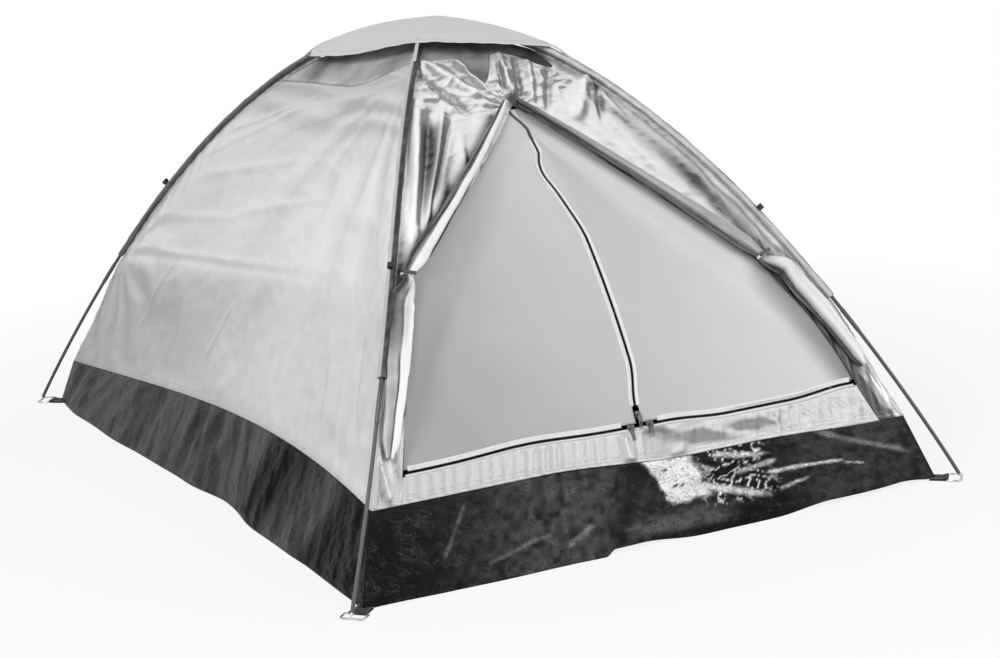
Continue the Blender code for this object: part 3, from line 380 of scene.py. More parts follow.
class Finish:
    """A material under construction."""

    def __init__(self, name, color, roughness, metallic=0.0):
        self.material = bpy.data.materials.new(name)
        self.material.use_nodes = True
        self.tree = self.material.node_tree
        self.shader = self.tree.nodes["Principled BSDF"]
        self.put("Base Color", (*color, 1.0))
        self.put("Roughness", roughness)
        self.put("Metallic", metallic)

    def put(self, name, value):
        """Sets a socket of the shader, to a value or a link."""
        fill(self.tree, self.shader.inputs[name], value)

    def node(self, kind, *first, settings=None, out=0, **inputs):
        """Any other node: its settings, its first sockets in their order, and others by name."""
        made = self.tree.nodes.new(kind)
        for name, value in (settings or {}).items():
            setattr(made, name, value)
        named = [(made.inputs[name], value) for name, value in inputs.items()]
        for slot, value in (*zip(made.inputs, first), *named):
            fill(self.tree, slot, value)
        return Number(self.tree, made.outputs[out])

    def place(self, flat=True):
        """Coordinates in metres: of the cloth, or of the object."""
        return self.node("ShaderNodeTexCoord", out=2 if flat else 3)

    def tone(self):
        """The shade that each point of a cloth carries."""
        return self.node("ShaderNodeAttribute", settings={"attribute_name": "tone"}, out=2)

    def cloud(self, where, size, detail=3.0, roughness=0.55):
        """Noise with waves of a size in metres."""
        return self.node("ShaderNodeTexNoise", Vector=where, Scale=1.0 / size, Detail=detail, Roughness=roughness)

    def axis(self, where, number):
        """One coordinate alone."""
        return self.node("ShaderNodeSeparateXYZ", out=number, Vector=where)

    def blend(self, factor, first, second):
        """Mixes two colours."""
        return mixed(self.tree, factor, first, second)

    def worn(self, mask, color, low, high):
        """The colour, a little darker or lighter where the mask says."""
        shades = (tuple(min(c * share, 1.0) for c in color) for share in (low, high))
        self.put("Base Color", self.blend(mask, *shades))

    def weave(self, where, pitch):
        """Over and under threads with a pitch in metres."""
        turns = 2 * math.pi / pitch
        return (self.axis(where, 0) * turns).sine() * (self.axis(where, 1) * turns).sine()

    def bump(self, height, depth, strength, below=None):
        """A bump with a depth in metres."""
        settings = {"Height": height, "Distance": depth, "Strength": strength}
        if below is not None:
            settings["Normal"] = below
        return self.node("ShaderNodeBump", **settings)


print("shader maths ready")

# %% [markdown]
# ## Silver cloth
# The walls are thin polyester with a film of aluminium on it. It is half cloth and half foil: the
# weave shows as a fine grain, and creases flash where the foil bends. The film is rubbed dull in
# soft blotches, so the gloss wanders more than the colour does. Light and shade are also painted:
# each piece's tone runs its colour from a painted shade to a painted highlight.

# %% Silver cloth
def silver_cloth(name, shaded_colour, bright, roughness, metallic, crease):
    """Aluminium-coated polyester; its tone attribute is painted light and shade, from the shaded colour to the bright
    one.
    """
    made = Finish(name, (bright,) * 3, roughness, metallic)
    flat = made.place()
    blotch = made.cloud(flat, 0.09, 4.0)
    rubbed = made.cloud(flat, 0.018, 5.0, 0.65)
    shade = (made.tone() + (blotch - 0.5) * 0.18 + (rubbed - 0.5) * 0.12).clamp()
    made.put("Base Color", made.blend(shade, (shaded_colour,) * 3, (bright,) * 3))
    made.put("Roughness", (rubbed * 0.20 + blotch * 0.12 + (roughness - 0.16)).clamp())
    lines = (made.cloud(flat, 0.035, 3.0, 0.6) - 0.5).absolute()
    soft = made.bump(lines, 0.008, crease)
    made.put("Normal", made.bump(made.weave(flat, 0.0011), 0.00008, 0.35, soft))
    return made.material


wall_silver = silver_cloth("wall_silver", 0.38, 0.76, 0.48, 0.20, 0.20)
front_silver = silver_cloth("front_silver", 0.06, 0.92, 0.36, 0.35, 0.22)
sill_silver = silver_cloth("sill_silver", 0.17, 0.56, 0.42, 0.30, 0.30)
roll_silver = silver_cloth("roll_silver", 0.012, 0.90, 0.50, 0.10, 0.25)
band_silver = silver_cloth("band_silver", 0.36, 0.74, 0.50, 0.15, 0.20)

# %% [markdown]
# ## Groundsheet, netting, tapes and hard parts
# The tub is woven plastic tape under a glossy black skin that creases like a bin bag, with dull
# scuffs along the folds; its shade and its highlights are painted. Netting is drawn as holes in the
# sheet, with painted light and shade in its colour. Webbing is ribbed, zip tape is white, and the
# poles are black glass fibre with dark steel ferrules.

# %% Groundsheet
def tub_sheet():
    made = Finish("tub_black", (0.012, 0.012, 0.013), 0.30)
    flat = made.place()
    scuff = made.cloud(flat, 0.060, 5.0, 0.7)
    dust = made.cloud(flat, 0.005)
    # The sides and back are painted lighter than the front, a painted sheen; the scuffs with dust on them are wear.
    rear = ((made.axis(made.place(flat=False), 1) + 1.02) * 1.6).clamp()
    worn = ((scuff - 0.55) * 5.0).clamp() * ((dust - 0.48) * 5.0).clamp() * (rear * 0.8 + 0.2) + rear * 0.42
    lines = (made.cloud(flat, 0.016, 4.0, 0.6) - 0.5).absolute()
    crackle = ((0.024 - lines) * 45.0).clamp() * ((scuff - 0.46) * 6.0).clamp() * 0.7
    # The tone paints shade below 0.5; above 0.5 it paints a highlight that mixes the colour towards white.
    tone = made.tone()
    shade, painted_glint = (tone * 2.0).clamp(), ((tone - 0.5) * 2.0).clamp()
    painted_glint = (painted_glint * ((lines * 34.0).clamp() * 0.85 + 0.15) * 1.30 + (scuff - 0.5) * 0.40 * painted_glint).clamp()
    shaded_colour = made.blend(((worn + crackle) * shade).clamp(), (0.006, 0.006, 0.007), (0.105, 0.105, 0.109))
    made.put("Base Color", made.blend(painted_glint, shaded_colour, (0.92, 0.92, 0.93)))
    made.put("Roughness", (scuff * 0.24 + worn * 0.20 + 0.12).clamp())
    made.put("Specular IOR Level", 0.03)
    cells = made.node("ShaderNodeTexVoronoi", settings={"feature": "DISTANCE_TO_EDGE"}, Vector=flat, Scale=26.0)
    crease = made.bump((cells * 4.0).clamp(), 0.0030, 0.40)
    made.put("Normal", made.bump(lines, 0.005, 0.32, crease))
    return made.material


tub_black = tub_sheet()


# %% Netting
NET_PITCH, NET_SHADOW = 0.0022, (0.13,) * 3


def netting(name, dark, light, cover, across, up, start, patches):
    """Netting: the holes are drawn in the cloth's own metres; what shows through is painted dim, painted light and
    shade drift across the net, and the tone paints a shadow on it.
    """
    made = Finish(name, light, 0.75)
    flat = made.place()
    threads = made.weave(flat, NET_PITCH)
    spot = made.place(flat=False)
    drift = made.axis(spot, 0) * across + made.axis(spot, 2) * up + start
    painted_haze = (made.cloud(spot, 0.13) - 0.5) * patches + drift
    seen_through = made.blend(painted_haze.clamp(), dark, light)
    made.put("Base Color", made.blend(((0.5 - made.tone()) * 2.0).clamp(), seen_through, NET_SHADOW))
    made.put("Alpha", 1.0 - threads.over(0.35) * (1.0 - cover))
    made.put("Normal", made.bump(threads, 0.0002, 0.5))
    return made.material


door_netting = netting("door_netting", (0.43, 0.43, 0.44), (0.74, 0.74, 0.75), 0.82,
                       across=1.15, up=0.45, start=0.34, patches=0.22)
roof_netting = netting("roof_netting", (0.040, 0.040, 0.043), (0.600, 0.600, 0.605), 0.84,
                       across=-2.2, up=0.0, start=0.30, patches=2.0)


# %% Plain weaves, plastics and metals
def tape(name, color, pitch):
    """Woven tape or elastic, ribbed across its length."""
    made = Finish(name, color, 0.8)
    spot = made.place(flat=False)
    rubbed = made.cloud(spot, 0.02, 4.0)
    made.worn(rubbed, color, 0.85, 1.12)
    made.put("Roughness", (rubbed * 0.15 + 0.72).clamp())
    made.put("Normal", made.bump(made.weave(spot, pitch), 0.00025, 0.6))
    return made.material


def hard(name, color, roughness, metallic=0.0):
    """Plastic or metal with fine handling marks."""
    marks = 0.004
    made = Finish(name, color, roughness, metallic)
    spot = made.place(flat=False)
    streak = made.cloud(spot, marks, 4.0, 0.6)
    made.worn(made.cloud(spot, marks * 12), color, 0.85, 1.15)
    made.put("Roughness", (streak * 0.20 + (roughness - 0.10)).clamp())
    made.put("Normal", made.bump(streak, 0.00004, 0.4))
    return made.material


webbing_black = tape("webbing_black", (0.028, 0.028, 0.030), 0.0016)
zip_tape_white = tape("zip_tape_white", (0.92, 0.92, 0.91), 0.0009)
elastic_white = tape("elastic_white", (0.80, 0.80, 0.78), 0.0012)
sleeve_grey = silver_cloth("sleeve_grey", 0.015, 0.56, 0.50, 0.20, 0.30)
cap_pale = silver_cloth("cap_pale", 0.54, 0.74, 0.55, 0.10, 0.22)
thread_grey = hard("thread_grey", (0.55, 0.55, 0.55), 0.7)
coil_black = hard("coil_black", (0.03, 0.03, 0.033), 0.40)
pole_black = hard("pole_black", (0.065, 0.065, 0.067), 0.36)
ferrule_steel = hard("ferrule_steel", (0.10, 0.10, 0.105), 0.35, 0.85)
pin_zinc = hard("pin_zinc", (0.42, 0.42, 0.43), 0.38, 0.9)
slider_zinc = hard("slider_zinc", (0.10, 0.10, 0.11), 0.50, 0.7)
print(len(bpy.data.materials), "materials")

# %% [markdown]
# ## From a grid of points to a piece of cloth
# A panel starts as a grid of points, is pushed along its own normals by its folds, and becomes a
# mesh whose UV map is in metres of cloth. Solidify then gives it a thickness of about half a
# millimetre. The cut size of each panel is measured before the folds are put in.

# %% Grid helpers
def steps(points, wrap):
    """How a grid runs along its rows and down its columns."""
    if wrap:
        along = (np.roll(points, -1, 1) - np.roll(points, 1, 1)) / 2
    else:
        along = np.gradient(points, axis=1)
    return along, np.gradient(points, axis=0)


def faces_out(way, points):
    """Whether the ways at some points lead away from the middle of the tent."""
    return np.mean(np.sum(way * (points - MIDDLE), -1)) > 0


def grid_normals(points, wrap=False):
    """Unit normals that point away from the middle of the tent."""
    way = np.cross(*steps(points, wrap))
    way /= np.linalg.norm(way, axis=-1, keepdims=True) + 1e-12
    return way if faces_out(way, points) else -way


def pushed(points, amount, wrap=False):
    """The grid with its folds pushed up."""
    return points + grid_normals(points, wrap) * np.broadcast_to(amount, points.shape[:2])[..., None]


def closed_up(points):
    """A grid that runs all round, with its first column again after its last."""
    return np.concatenate([points, points[:, :1]], 1)


def area_of(points):
    """The area of a grid's cells."""
    along, down = np.diff(points, axis=1)[:-1], np.diff(points, axis=0)[:, :-1]
    return float(np.linalg.norm(np.cross(along, down), axis=-1).sum())


def cut_size(points):
    """Width, length and area of a panel before its folds."""
    return float(distance_along(points, 1).max()), float(distance_along(points).max()), area_of(points)


THIN, CLOTH, COATED, CAP, DOUBLED = 0.0004, 0.0005, 0.0006, 0.0007, 0.0010  # thicknesses in metres


def thicken(piece, thickness):
    """Solidify with its face on the outside."""
    shell = piece.modifiers.new("thickness", "SOLIDIFY")
    shell.thickness, shell.offset = thickness, -1
    return piece


@contextlib.contextmanager
def edited(mesh, source=None):
    """Opens a mesh for changes, or fills it from a changed source."""
    shape = bmesh.new()
    shape.from_mesh(source or mesh)
    yield shape
    shape.to_mesh(mesh)
    shape.free()


def make_cloth(name, points, finish, thickness=CLOTH, wrap=False, tone=0.5):
    """A mesh from a grid, with its UV map in metres, facing out, with its thickness and its shade."""
    rows, cols = points.shape[:2]
    i, j = np.meshgrid(np.arange(rows - 1), np.arange(cols if wrap else cols - 1), indexing="ij")
    k = (j + 1) % cols
    quads = np.stack([i * cols + j, i * cols + k, (i + 1) * cols + k, (i + 1) * cols + j], -1).reshape(-1, 4)
    closed = closed_up(points) if wrap else points
    u, v = distance_along(closed, 1), distance_along(closed)
    u -= u.max(1, keepdims=True) / 2
    at = [(i, j), (i, j + 1), (i + 1, j + 1), (i + 1, j)]
    uv = np.stack([np.stack([u[a], v[a]], -1) for a in at], -2).reshape(-1, 4, 2)
    if not faces_out(np.cross(*steps(points, wrap)), points):
        quads, uv = quads[:, ::-1], uv[:, ::-1]
    mesh = bpy.data.meshes.new(name)
    mesh.from_pydata(points.reshape(-1, 3).tolist(), [], quads.tolist())
    layer = mesh.uv_layers.new(name="cloth")
    layer.data.foreach_set("uv", uv.reshape(-1).astype(np.float32))
    mesh.materials.append(finish)
    carried = mesh.attributes.new("tone", "FLOAT", "POINT")
    tones = np.broadcast_to(np.clip(tone, 0.0, 1.0), (rows, cols))
    carried.data.foreach_set("value", tones.reshape(-1).astype(np.float32))
    mesh.shade_smooth()
    piece = placed(name, mesh)
    return thicken(piece, thickness) if thickness else piece


def settle(piece, stands_for=(), body="tent"):
    """Puts a finished piece on its body, in the place of its solids."""
    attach(piece, body)
    if stands_for:
        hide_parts(*stands_for)
    return piece


LEAST_SHARE = 0.31  # the least part of its rectangle of cloth that a cut piece fills


def declare(piece, size, with_pieces=()):
    """Prints how a piece was cut: its width, its length and its area, kept between a least share of its rectangle and
    the whole.
    """
    width, length, area = size
    area = min(max(area, LEAST_SHARE * width * length), width * length)
    print(f"{piece.name}: {width:.3f} x {length:.3f} m, {area:.3f} m2")


CORNERS = {"front_left": (-1, -1), "front_right": (1, -1), "back_right": (1, 1), "back_left": (-1, 1)}

# %% [markdown]
# ## Side and back walls
# Three plain panels. The long walls show one pulled fold from the end of the back sleeve up to
# the guy loop at the front, fine folds that run out of the front strap, and short ripples above
# the seam with the tub, because the thread draws that seam together.

# %% Side and back walls
WALL_FOLDS = (  # on the left wall: from and to, each as (s, rho); width and height
    ((-0.92, 0.560), (-0.28, 0.390), 0.011, 0.0026), ((-0.90, 0.500), (-0.30, 0.372), 0.008, 0.0022),
    ((-0.82, 0.600), (-0.05, 0.520), 0.014, 0.0020), ((-0.93, 0.690), (-0.35, 0.655), 0.012, 0.0024),
    ((-0.375, 0.648), (0.30, 0.575), 0.013, 0.0022), ((0.67, 0.900), (0.66, 0.750), 0.005, -0.0026),
    ((0.865, 0.846), (0.855, 0.732), 0.005, -0.0026), ((0.76, 0.890), (0.775, 0.790), 0.006, 0.0022),
    ((-0.065, 0.774), (-0.135, 0.850), 0.007, 0.0030), ((-0.60, 0.740), (-0.66, 0.860), 0.009, 0.0024))


def wall_folds(side, s, rho, seed):
    """The folds of a plain wall, in metres of height."""
    u, v = metres(side, s, rho)
    forward = -np.abs(s) * 0.2 if side in SHORT_SIDES else forward_on(side, s)
    down = share_down(rho)
    line = down - fold_line(side, s)
    pulled = 0.0024 * hump(0.0, 0.010, line) - 0.0026 * hump(0.016, 0.011, line)
    pulled += 0.0015 * noise(u / 0.2, v / 0.05, seed + 7) * hump(0.0, 0.04, line)
    pulled = pulled * smoothstep(0.7, -0.5, forward) * (0.5 + 0.5 * smoothstep(-1.0, -0.8, forward))
    if side == "left":
        pulled = with_folds(pulled, u, v, WALL_FOLDS, lambda place: spot_in_metres(side, *place))
    front_end = -1.0 if side == "right" else 1.0
    front_fan = 0.0042 * fan(u, v, spot_in_metres(side, front_end, 0.26), 17, 0.33, seed)
    back_fan = 0.0030 * fan(u, v, spot_in_metres(side, -front_end, SLEEVE_END), 13, 0.20, seed + 1)
    ripples = np.sin(u / 0.0105 + 2.5 * noise(u / 0.11, v / 0.3, seed + 2)) * smoothstep(0.62, 1.0, down)
    ripples = 0.0017 * ripples * (0.4 + 0.6 * smoothstep(-0.3, 0.7, forward))
    upright = np.sin(u / 0.0072 + 2.0 * noise(u / 0.07, v / 0.22, seed + 4)) * smoothstep(0.72, 0.97, np.abs(s))
    upright = 0.0017 * upright * smoothstep(0.15, 0.5, down)
    level = 0.0022 * np.sin(v / 0.0125 + 2.2 * noise(u / 0.35, v / 0.12, seed + 5)) * smoothstep(0.34, 0.0, down)
    broad = 0.0032 * noise(u / 0.26, v / 0.21, seed + 6) + 0.0018 * crumple(u, v, 0.13, seed + 8)
    grain = 0.0008 * crumple(u, v, 0.045, seed + 9)
    window = edge_window(s, -1, 1, 0.045) * edge_window(rho, roof_edge(side, s), tub_edge(side, s), 0.02)
    return (pulled + front_fan + back_fan + ripples + upright + level + broad + grain) * window


def plain_wall(side, seed):
    s = np.linspace(-1, 1, 170 if side == "back" else 220)[None, :]
    top = roof_edge(side, s)
    rho = top + (tub_edge(side, s) - top) * np.linspace(0, 1, 120)[:, None]
    s = np.broadcast_to(s, rho.shape)
    base, folds = wall(side, s, rho), wall_folds(side, s, rho, seed)
    down = share_down(rho)
    rear = 0.5 if side in SHORT_SIDES else smoothstep(0.55, -0.9, forward_on(side, s))
    # Painted light and shade: darker at the top and towards the back, darker still below the pulled fold, with
    # painted highlights and shade on the folds.
    tone = 0.46 + 0.42 * smoothstep(0.0, 0.35, down) - 0.16 * rear * smoothstep(0.2, 0.5, down)
    tone -= (0.26 + 0.34 * rear) * smoothstep(fold_line(side, s), fold_line(side, s) + 0.09, down)
    tone = tone + 0.65 * (tone_of(base, folds, 0.020, 0.9) - 0.5) + 0.05 * noise(s * 3, rho * 6, seed + 12)
    piece = make_cloth(f"wall_cloth_{side}", pushed(base, folds), wall_silver, tone=tone)
    settle(piece, [f"wall_{side}"])
    declare(piece, cut_size(base))


for word, number in (("left", 11), ("right", 31), ("back", 51)):
    plain_wall(word, number)

# %% [markdown]
# ## The doorway
# The doorway is a low house shape: two straight edges from its top to the shoulders, then down
# beside the poles. The front wall is one cloth round it. It is cut too full on purpose, so that
# it can be gathered at the top of the zip, and that is where it flashes and crumples most.

# %% The doorway's outline
DOOR_APEX, SHOULDER_RHO, DOOR_SIDE = 0.862, 0.656, 0.90
SHOULDER_Z, RIGHT_SAG, RIGHT_DRAW = float(seam(SHOULDER_RHO)[2]), 0.070, 0.095
DOOR_APEX_RHO = float(rho_at(DOOR_APEX))


def side_edge(height, right):
    """The doorway's half width below its shoulders; the right one is drawn in under the roll."""
    drawn_in = RIGHT_DRAW * np.clip((height - 0.25) / 0.28, 0, 1) ** 1.4
    return (DOOR_SIDE - drawn_in * right) * seam_at(height)[0]


def shoulder(right):
    """Half width and height of the doorway's shoulder; the right one sags under its roll."""
    height = SHOULDER_Z - RIGHT_SAG * right
    return side_edge(height, right), height


def door_edge(height, right=False):
    """The doorway's half width at a height."""
    wide, high = shoulder(right)
    return np.where(height > high, wide * (DOOR_APEX - height) / (DOOR_APEX - high), side_edge(height, right))


print("the doorway is", round(2 * float(door_edge(0.3)), 2), "m wide near the ground")


# %% Where the loose zips stray
def wander(height):
    """How far the upright zip strays sideways; it hangs loose between its ends."""
    upper = -0.016 * hump(0.733, 0.034, height) * smoothstep(0.776, 0.752, height)
    return 0.018 * smoothstep(0.265, 0.36, height) * smoothstep(0.695, 0.595, height) + upper


def sway(x):
    """How far the lower zip strays up and down."""
    return 0.009 * hump(-0.27, 0.13, x) - 0.010 * smoothstep(0.06, 0.22, x) * smoothstep(0.53, 0.38, x)


# %% Folds of the front wall
HEADER_FOLDS = (  # from and to, each as (s, rho); width and height in metres
    ((-0.97, 0.21), (-0.22, 0.360), 0.015, 0.0120), ((-0.80, 0.205), (-0.16, 0.335), 0.008, -0.0070),
    ((-0.45, 0.210), (-0.14, 0.345), 0.007, 0.0080), ((-0.98, 0.25), (-0.40, 0.390), 0.010, -0.0090),
    ((0.36, 0.215), (0.03, 0.365), 0.010, 0.0110), ((0.52, 0.235), (0.10, 0.370), 0.007, -0.0090),
    ((0.64, 0.250), (0.18, 0.380), 0.008, 0.0090), ((0.78, 0.275), (0.28, 0.395), 0.009, -0.0100),
    ((0.97, 0.320), (0.46, 0.425), 0.014, 0.0110), ((0.97, 0.345), (0.62, 0.440), 0.008, -0.0080),
    ((0.93, 0.330), (0.80, 0.450), 0.012, 0.0080), ((0.20, 0.250), (0.02, 0.330), 0.005, -0.0060))
SIDE_FOLDS = (
    ((-0.93, 0.33), (-0.905, 0.60), 0.016, 0.0150), ((-0.80, 0.37), (-0.87, 0.58), 0.012, -0.0130),
    ((-0.66, 0.36), (-0.84, 0.60), 0.009, 0.0110), ((-0.60, 0.385), (-0.80, 0.56), 0.006, -0.0070))


def front_folds(s, rho, sign, seed=71):
    """Strong folds over the doorway and beside it."""
    u, v = metres("front", s, rho)
    top = spot_in_metres("front", 0.0, DOOR_APEX_RHO)
    above = smoothstep(top[1] + 0.05, top[1] - 0.04, v)
    folds = 0.0026 * fan(u, v, (0.0, top[1] + 0.005), 15, 0.05, seed, 0.8) * above
    folds += 0.0022 * fan(u, v, spot_in_metres("front", -1.0, 0.20), 15, 0.10, seed + 1, 0.9)
    folds += 0.0016 * fan(u, v, spot_in_metres("front", 0.96, 0.31), 15, 0.10, seed + 2, 0.9)
    table = HEADER_FOLDS + (SIDE_FOLDS if sign < 0 else ())
    folds = with_folds(folds, u, v, table, lambda place: spot_in_metres("front", *place))
    folds += 0.0040 * crumple(u, v, 0.045, seed + 4) * above
    if sign > 0:
        folds *= 1 - 0.75 * smoothstep(0.40, 0.48, rho)
    beside = smoothstep(0.40, 0.46, rho) * smoothstep(0.70, 0.60, rho)
    upright = np.sin((np.abs(u) - v * 0.42) / 0.0080 + 1.8 * noise(u / 0.05, v / 0.16, seed + 5))
    folds += 0.0026 * upright * beside * (1.0 if sign < 0 else 0.45)
    low = smoothstep(0.62, 0.72, rho)
    folds += 0.0024 * np.sin(np.abs(u) / 0.0058 + 2.0 * noise(u / 0.03, v / 0.20, seed + 6)) * low
    return folds + 0.0012 * crumple(u, v, 0.050, seed + 8)


# %% Front wall
HALF_COLUMNS, HEAD_ROWS, LEG_ROWS = 84, 70, 190


def inner_distance(s, rho):
    """How far a place on the front wall is from the doorway's edge, outward, in metres."""
    corner = seam(rho)
    return np.abs(s) * corner[..., 0] - door_edge(corner[..., 2], s > 0)


def front_half(sign):
    """Points, folds and tone of one half of the front wall, from the roof down beside the doorway."""
    apex = DOOR_APEX_RHO
    t = np.linspace(0, 1, HALF_COLUMNS)[None, :]
    over = sign * t
    top = roof_edge("front", over)
    head_rho = top + (apex - top) * np.linspace(0, 1, HEAD_ROWS)[:, None]
    head_s = np.broadcast_to(over, head_rho.shape)
    legs = np.linspace(apex, float(tub_edge("front", sign)), LEG_ROWS)[1:, None]
    corner = seam(legs[:, 0])
    inner = np.minimum((door_edge(corner[:, 2], sign > 0) + 0.0015) / corner[:, 0], 0.96)[:, None]
    leg_s = sign * (inner + (1 - inner) * t)
    leg_rho = np.broadcast_to(legs, leg_s.shape)
    s, rho = np.concatenate([head_s, leg_s]), np.concatenate([head_rho, leg_rho])
    edge = edge_window(rho, roof_edge("front", np.clip(s, -1, 1)), tub_edge("front", s), 0.010)
    inside = smoothstep(0.0, 0.07, 1 - t) * np.where(rho > apex, smoothstep(0.0, 0.07, t + 0.02), 1.0)
    base, folds = wall("front", s, rho), front_folds(s, rho, sign) * edge * inside
    # Painted highlights on the ridges of the folds and painted shade in their hollows.
    light = tone_of(base, folds, 0.018, 0.8) - 0.5
    tone = 0.87 + 0.55 * light + 1.0 * np.minimum(light + 0.13, 0.0)
    u, v = metres("front", s, rho)
    middle = spot_in_metres("front", 0.0, apex)
    # Painted shade round the top of the zip, where the cloth is gathered.
    from_zip = np.hypot(u - middle[0] - 0.008, v - middle[1]) + 0.006 * noise(u / 0.01, v / 0.01, 75)
    tone -= 0.9 * smoothstep(0.034, 0.010, from_zip)
    # Painted shade: in the shade of the pole and over the rolled half on the right, in the deep folds
    # beside the rolled half on the left, and below the shoulder on the left.
    if sign > 0:
        tone -= 0.45 * smoothstep(0.82, 0.90, s) * smoothstep(0.44, 0.34, rho)
        from_seam = (1 - s) * seam(rho)[..., 0] + 0.006 * noise(u / 0.02, v / 0.05, 76)
        shaded = (0.32 + 0.45 * smoothstep(0.47, 0.57, rho)) * hump(0.058, 0.029, from_seam)
        tone -= (shaded + 0.42 * hump(0.021, 0.007, from_seam)) * smoothstep(0.36, 0.45, rho)
        over_roll = rho < rho_at(shoulder(True)[1] - 0.02)
        tone -= (0.45 + 0.25 * over_roll) * smoothstep(0.050, 0.015, inner_distance(s, rho))
    else:
        from_edge = hump(0.0, 1.0, (inner_distance(s, rho) - 0.044) / 0.016)
        tone -= 0.75 * from_edge * smoothstep(0.375, 0.40, rho) * smoothstep(0.66, 0.60, rho)
        tone -= 0.55 * hump(-0.755, 0.075, s) * smoothstep(0.38, 0.41, rho) * smoothstep(0.56, 0.50, rho)
        tone = tone - 0.40 * smoothstep(0.62, 0.66, rho) - 0.35 * hump(0.665, 0.045, rho)
    return base, folds, tone


def joined(name, pieces):
    """Several pieces as one."""
    whole = pieces[0]
    if len(pieces) > 1:
        with bpy.context.temp_override(active_object=whole, selected_editable_objects=pieces):
            bpy.ops.object.join()
    whole.name = name
    return whole


halves, front_area = [], 0.0
for sign in (-1, 1):
    base, folds, tone = front_half(sign)
    front_area += cut_size(base)[2]
    halves.append(make_cloth(f"front_half_{sign + 1}", pushed(base, folds), front_silver, thickness=0, tone=tone))
front_cloth = thicken(joined("front_cloth", halves), CLOTH)
with edited(front_cloth.data) as shape:
    bmesh.ops.remove_doubles(shape, verts=shape.verts, dist=0.00005)
settle(front_cloth, ["front_header", "front_panel_left", "front_panel_right"])
declare(front_cloth, (1.42, 0.42, front_area))

# %% [markdown]
# ## The sill
# A narrow band of the same cloth runs under the bottom zip. The zip was sewn to it under tension,
# so it stands in upright pleats, with two deeper ones under the meeting point of the zips.

# %% Sill
ZIP_LINE, ZIP_END, COIL_GAP, COIL_WIDTH = 0.230, 0.545, 0.0012, 0.0034
SILL_TOP = ZIP_LINE - COIL_GAP - COIL_WIDTH - 0.0006


def sill():
    across, down = np.linspace(-1, 1, 420)[None, :], np.linspace(0, 1, 26)[:, None]
    top = rho_at(SILL_TOP + sway(across * ZIP_END))
    rho = top + (tub_edge("front", across) - top) * down
    corner = seam(rho)
    s = across * (door_edge(corner[..., 2]) + 0.0010) / corner[..., 0]
    u, v = metres("front", s, rho)
    low = v - v[:1]
    pleats = np.sin((u + 0.25 * low) / 0.0044 + 2.4 * noise(u / 0.05, 0.5, 91))
    pleats = 0.0015 * np.sign(pleats) * np.abs(pleats) ** 0.7 * (0.35 + 0.65 * noise(u / 0.12, 0.2, 92) ** 2)
    pleats *= 0.45 + 0.55 * smoothstep(0.05, -0.15, s)
    deep = 0.0060 * hump(-0.045, 0.012, u) - 0.0060 * hump(0.030, 0.030, u)
    deep += 0.0050 * hump(0.13, 0.03, u + 1.1 * low)
    loose = 0.0016 * crumple(u, v, 0.055, 93) * smoothstep(-0.05, 0.25, s)
    slanting = np.sin((u - 1.3 * low) / 0.0052 + 2.2 * noise(u / 0.05, 0.3, 95))
    loose += 0.0008 * noise(u / 0.07, v / 0.03, 96) * slanting * smoothstep(0.26, 0.32, u)
    window = np.minimum(smoothstep(0, 0.22, down), smoothstep(0, 0.15, 1 - down)) * edge_window(s, -0.9, 0.9, 0.03)
    base, folds = wall("front", s, rho), (pleats + deep + loose) * window
    # Painted light and shade: painted highlights and shade on the pleats, and grey patches of painted reflection on
    # the right half.
    rags = 0.16 * noise(u / 0.030, v / 0.009, 97)
    middle = 0.44 + 1.2 * (u - 0.09)
    grey = hump(0.078, 0.080, u - 1.5 * low) * hump(middle, 0.25, down)
    grey = np.maximum(grey, 0.9 * hump(0.225, 0.062, u - 1.5 * low) * hump(0.40, 0.27, down))
    grey = smoothstep(0.12, 0.80, grey + rags * smoothstep(0.05, 0.4, grey))
    tone = 0.78 + 1.0 * (tone_of(base, folds, 0.012, 0.6) - 0.5) - 0.92 * grey
    piece = make_cloth("sill_cloth", pushed(base, folds), sill_silver, tone=tone)
    settle(piece, ["door_sill"])
    declare(piece, cut_size(base))


sill()

# %% [markdown]
# ## The tub
# One black sheet is the floor and turns up all round. The sheet is stiffer than cloth, so it
# creases in sharp facets and long slanting folds, and the edge on the ground wanders in and out.
# In the middle of the front it leans back under its own slack, and a highlight is painted there.

# %% Tub
FLOOR_X, FLOOR_Y, TUB_HEIGHT = 0.705, 0.985, 0.17
FLOOR_CORNER, LEVEL = np.array([FLOOR_X, FLOOR_Y]), np.array([1, 1, 0])
FLOOR_BOW = {"front": 0.015, "back": 0.015, "right": -0.012, "left": -0.012}
TUB_COLUMNS, TUB_UPTURN = {"front": 310, "right": 190, "back": 120, "left": 300}, 0.16


def all_round(counts, down, build):
    """A grid that runs all round the tent; build makes the part on each side."""
    parts = []
    for number, side in enumerate(SIDES):
        s = -1 + 2 * np.arange(counts[side]) / counts[side]
        parts.append(build(number, side, *np.broadcast_arrays(s[None, :], down)))
    return np.concatenate(parts, 1)


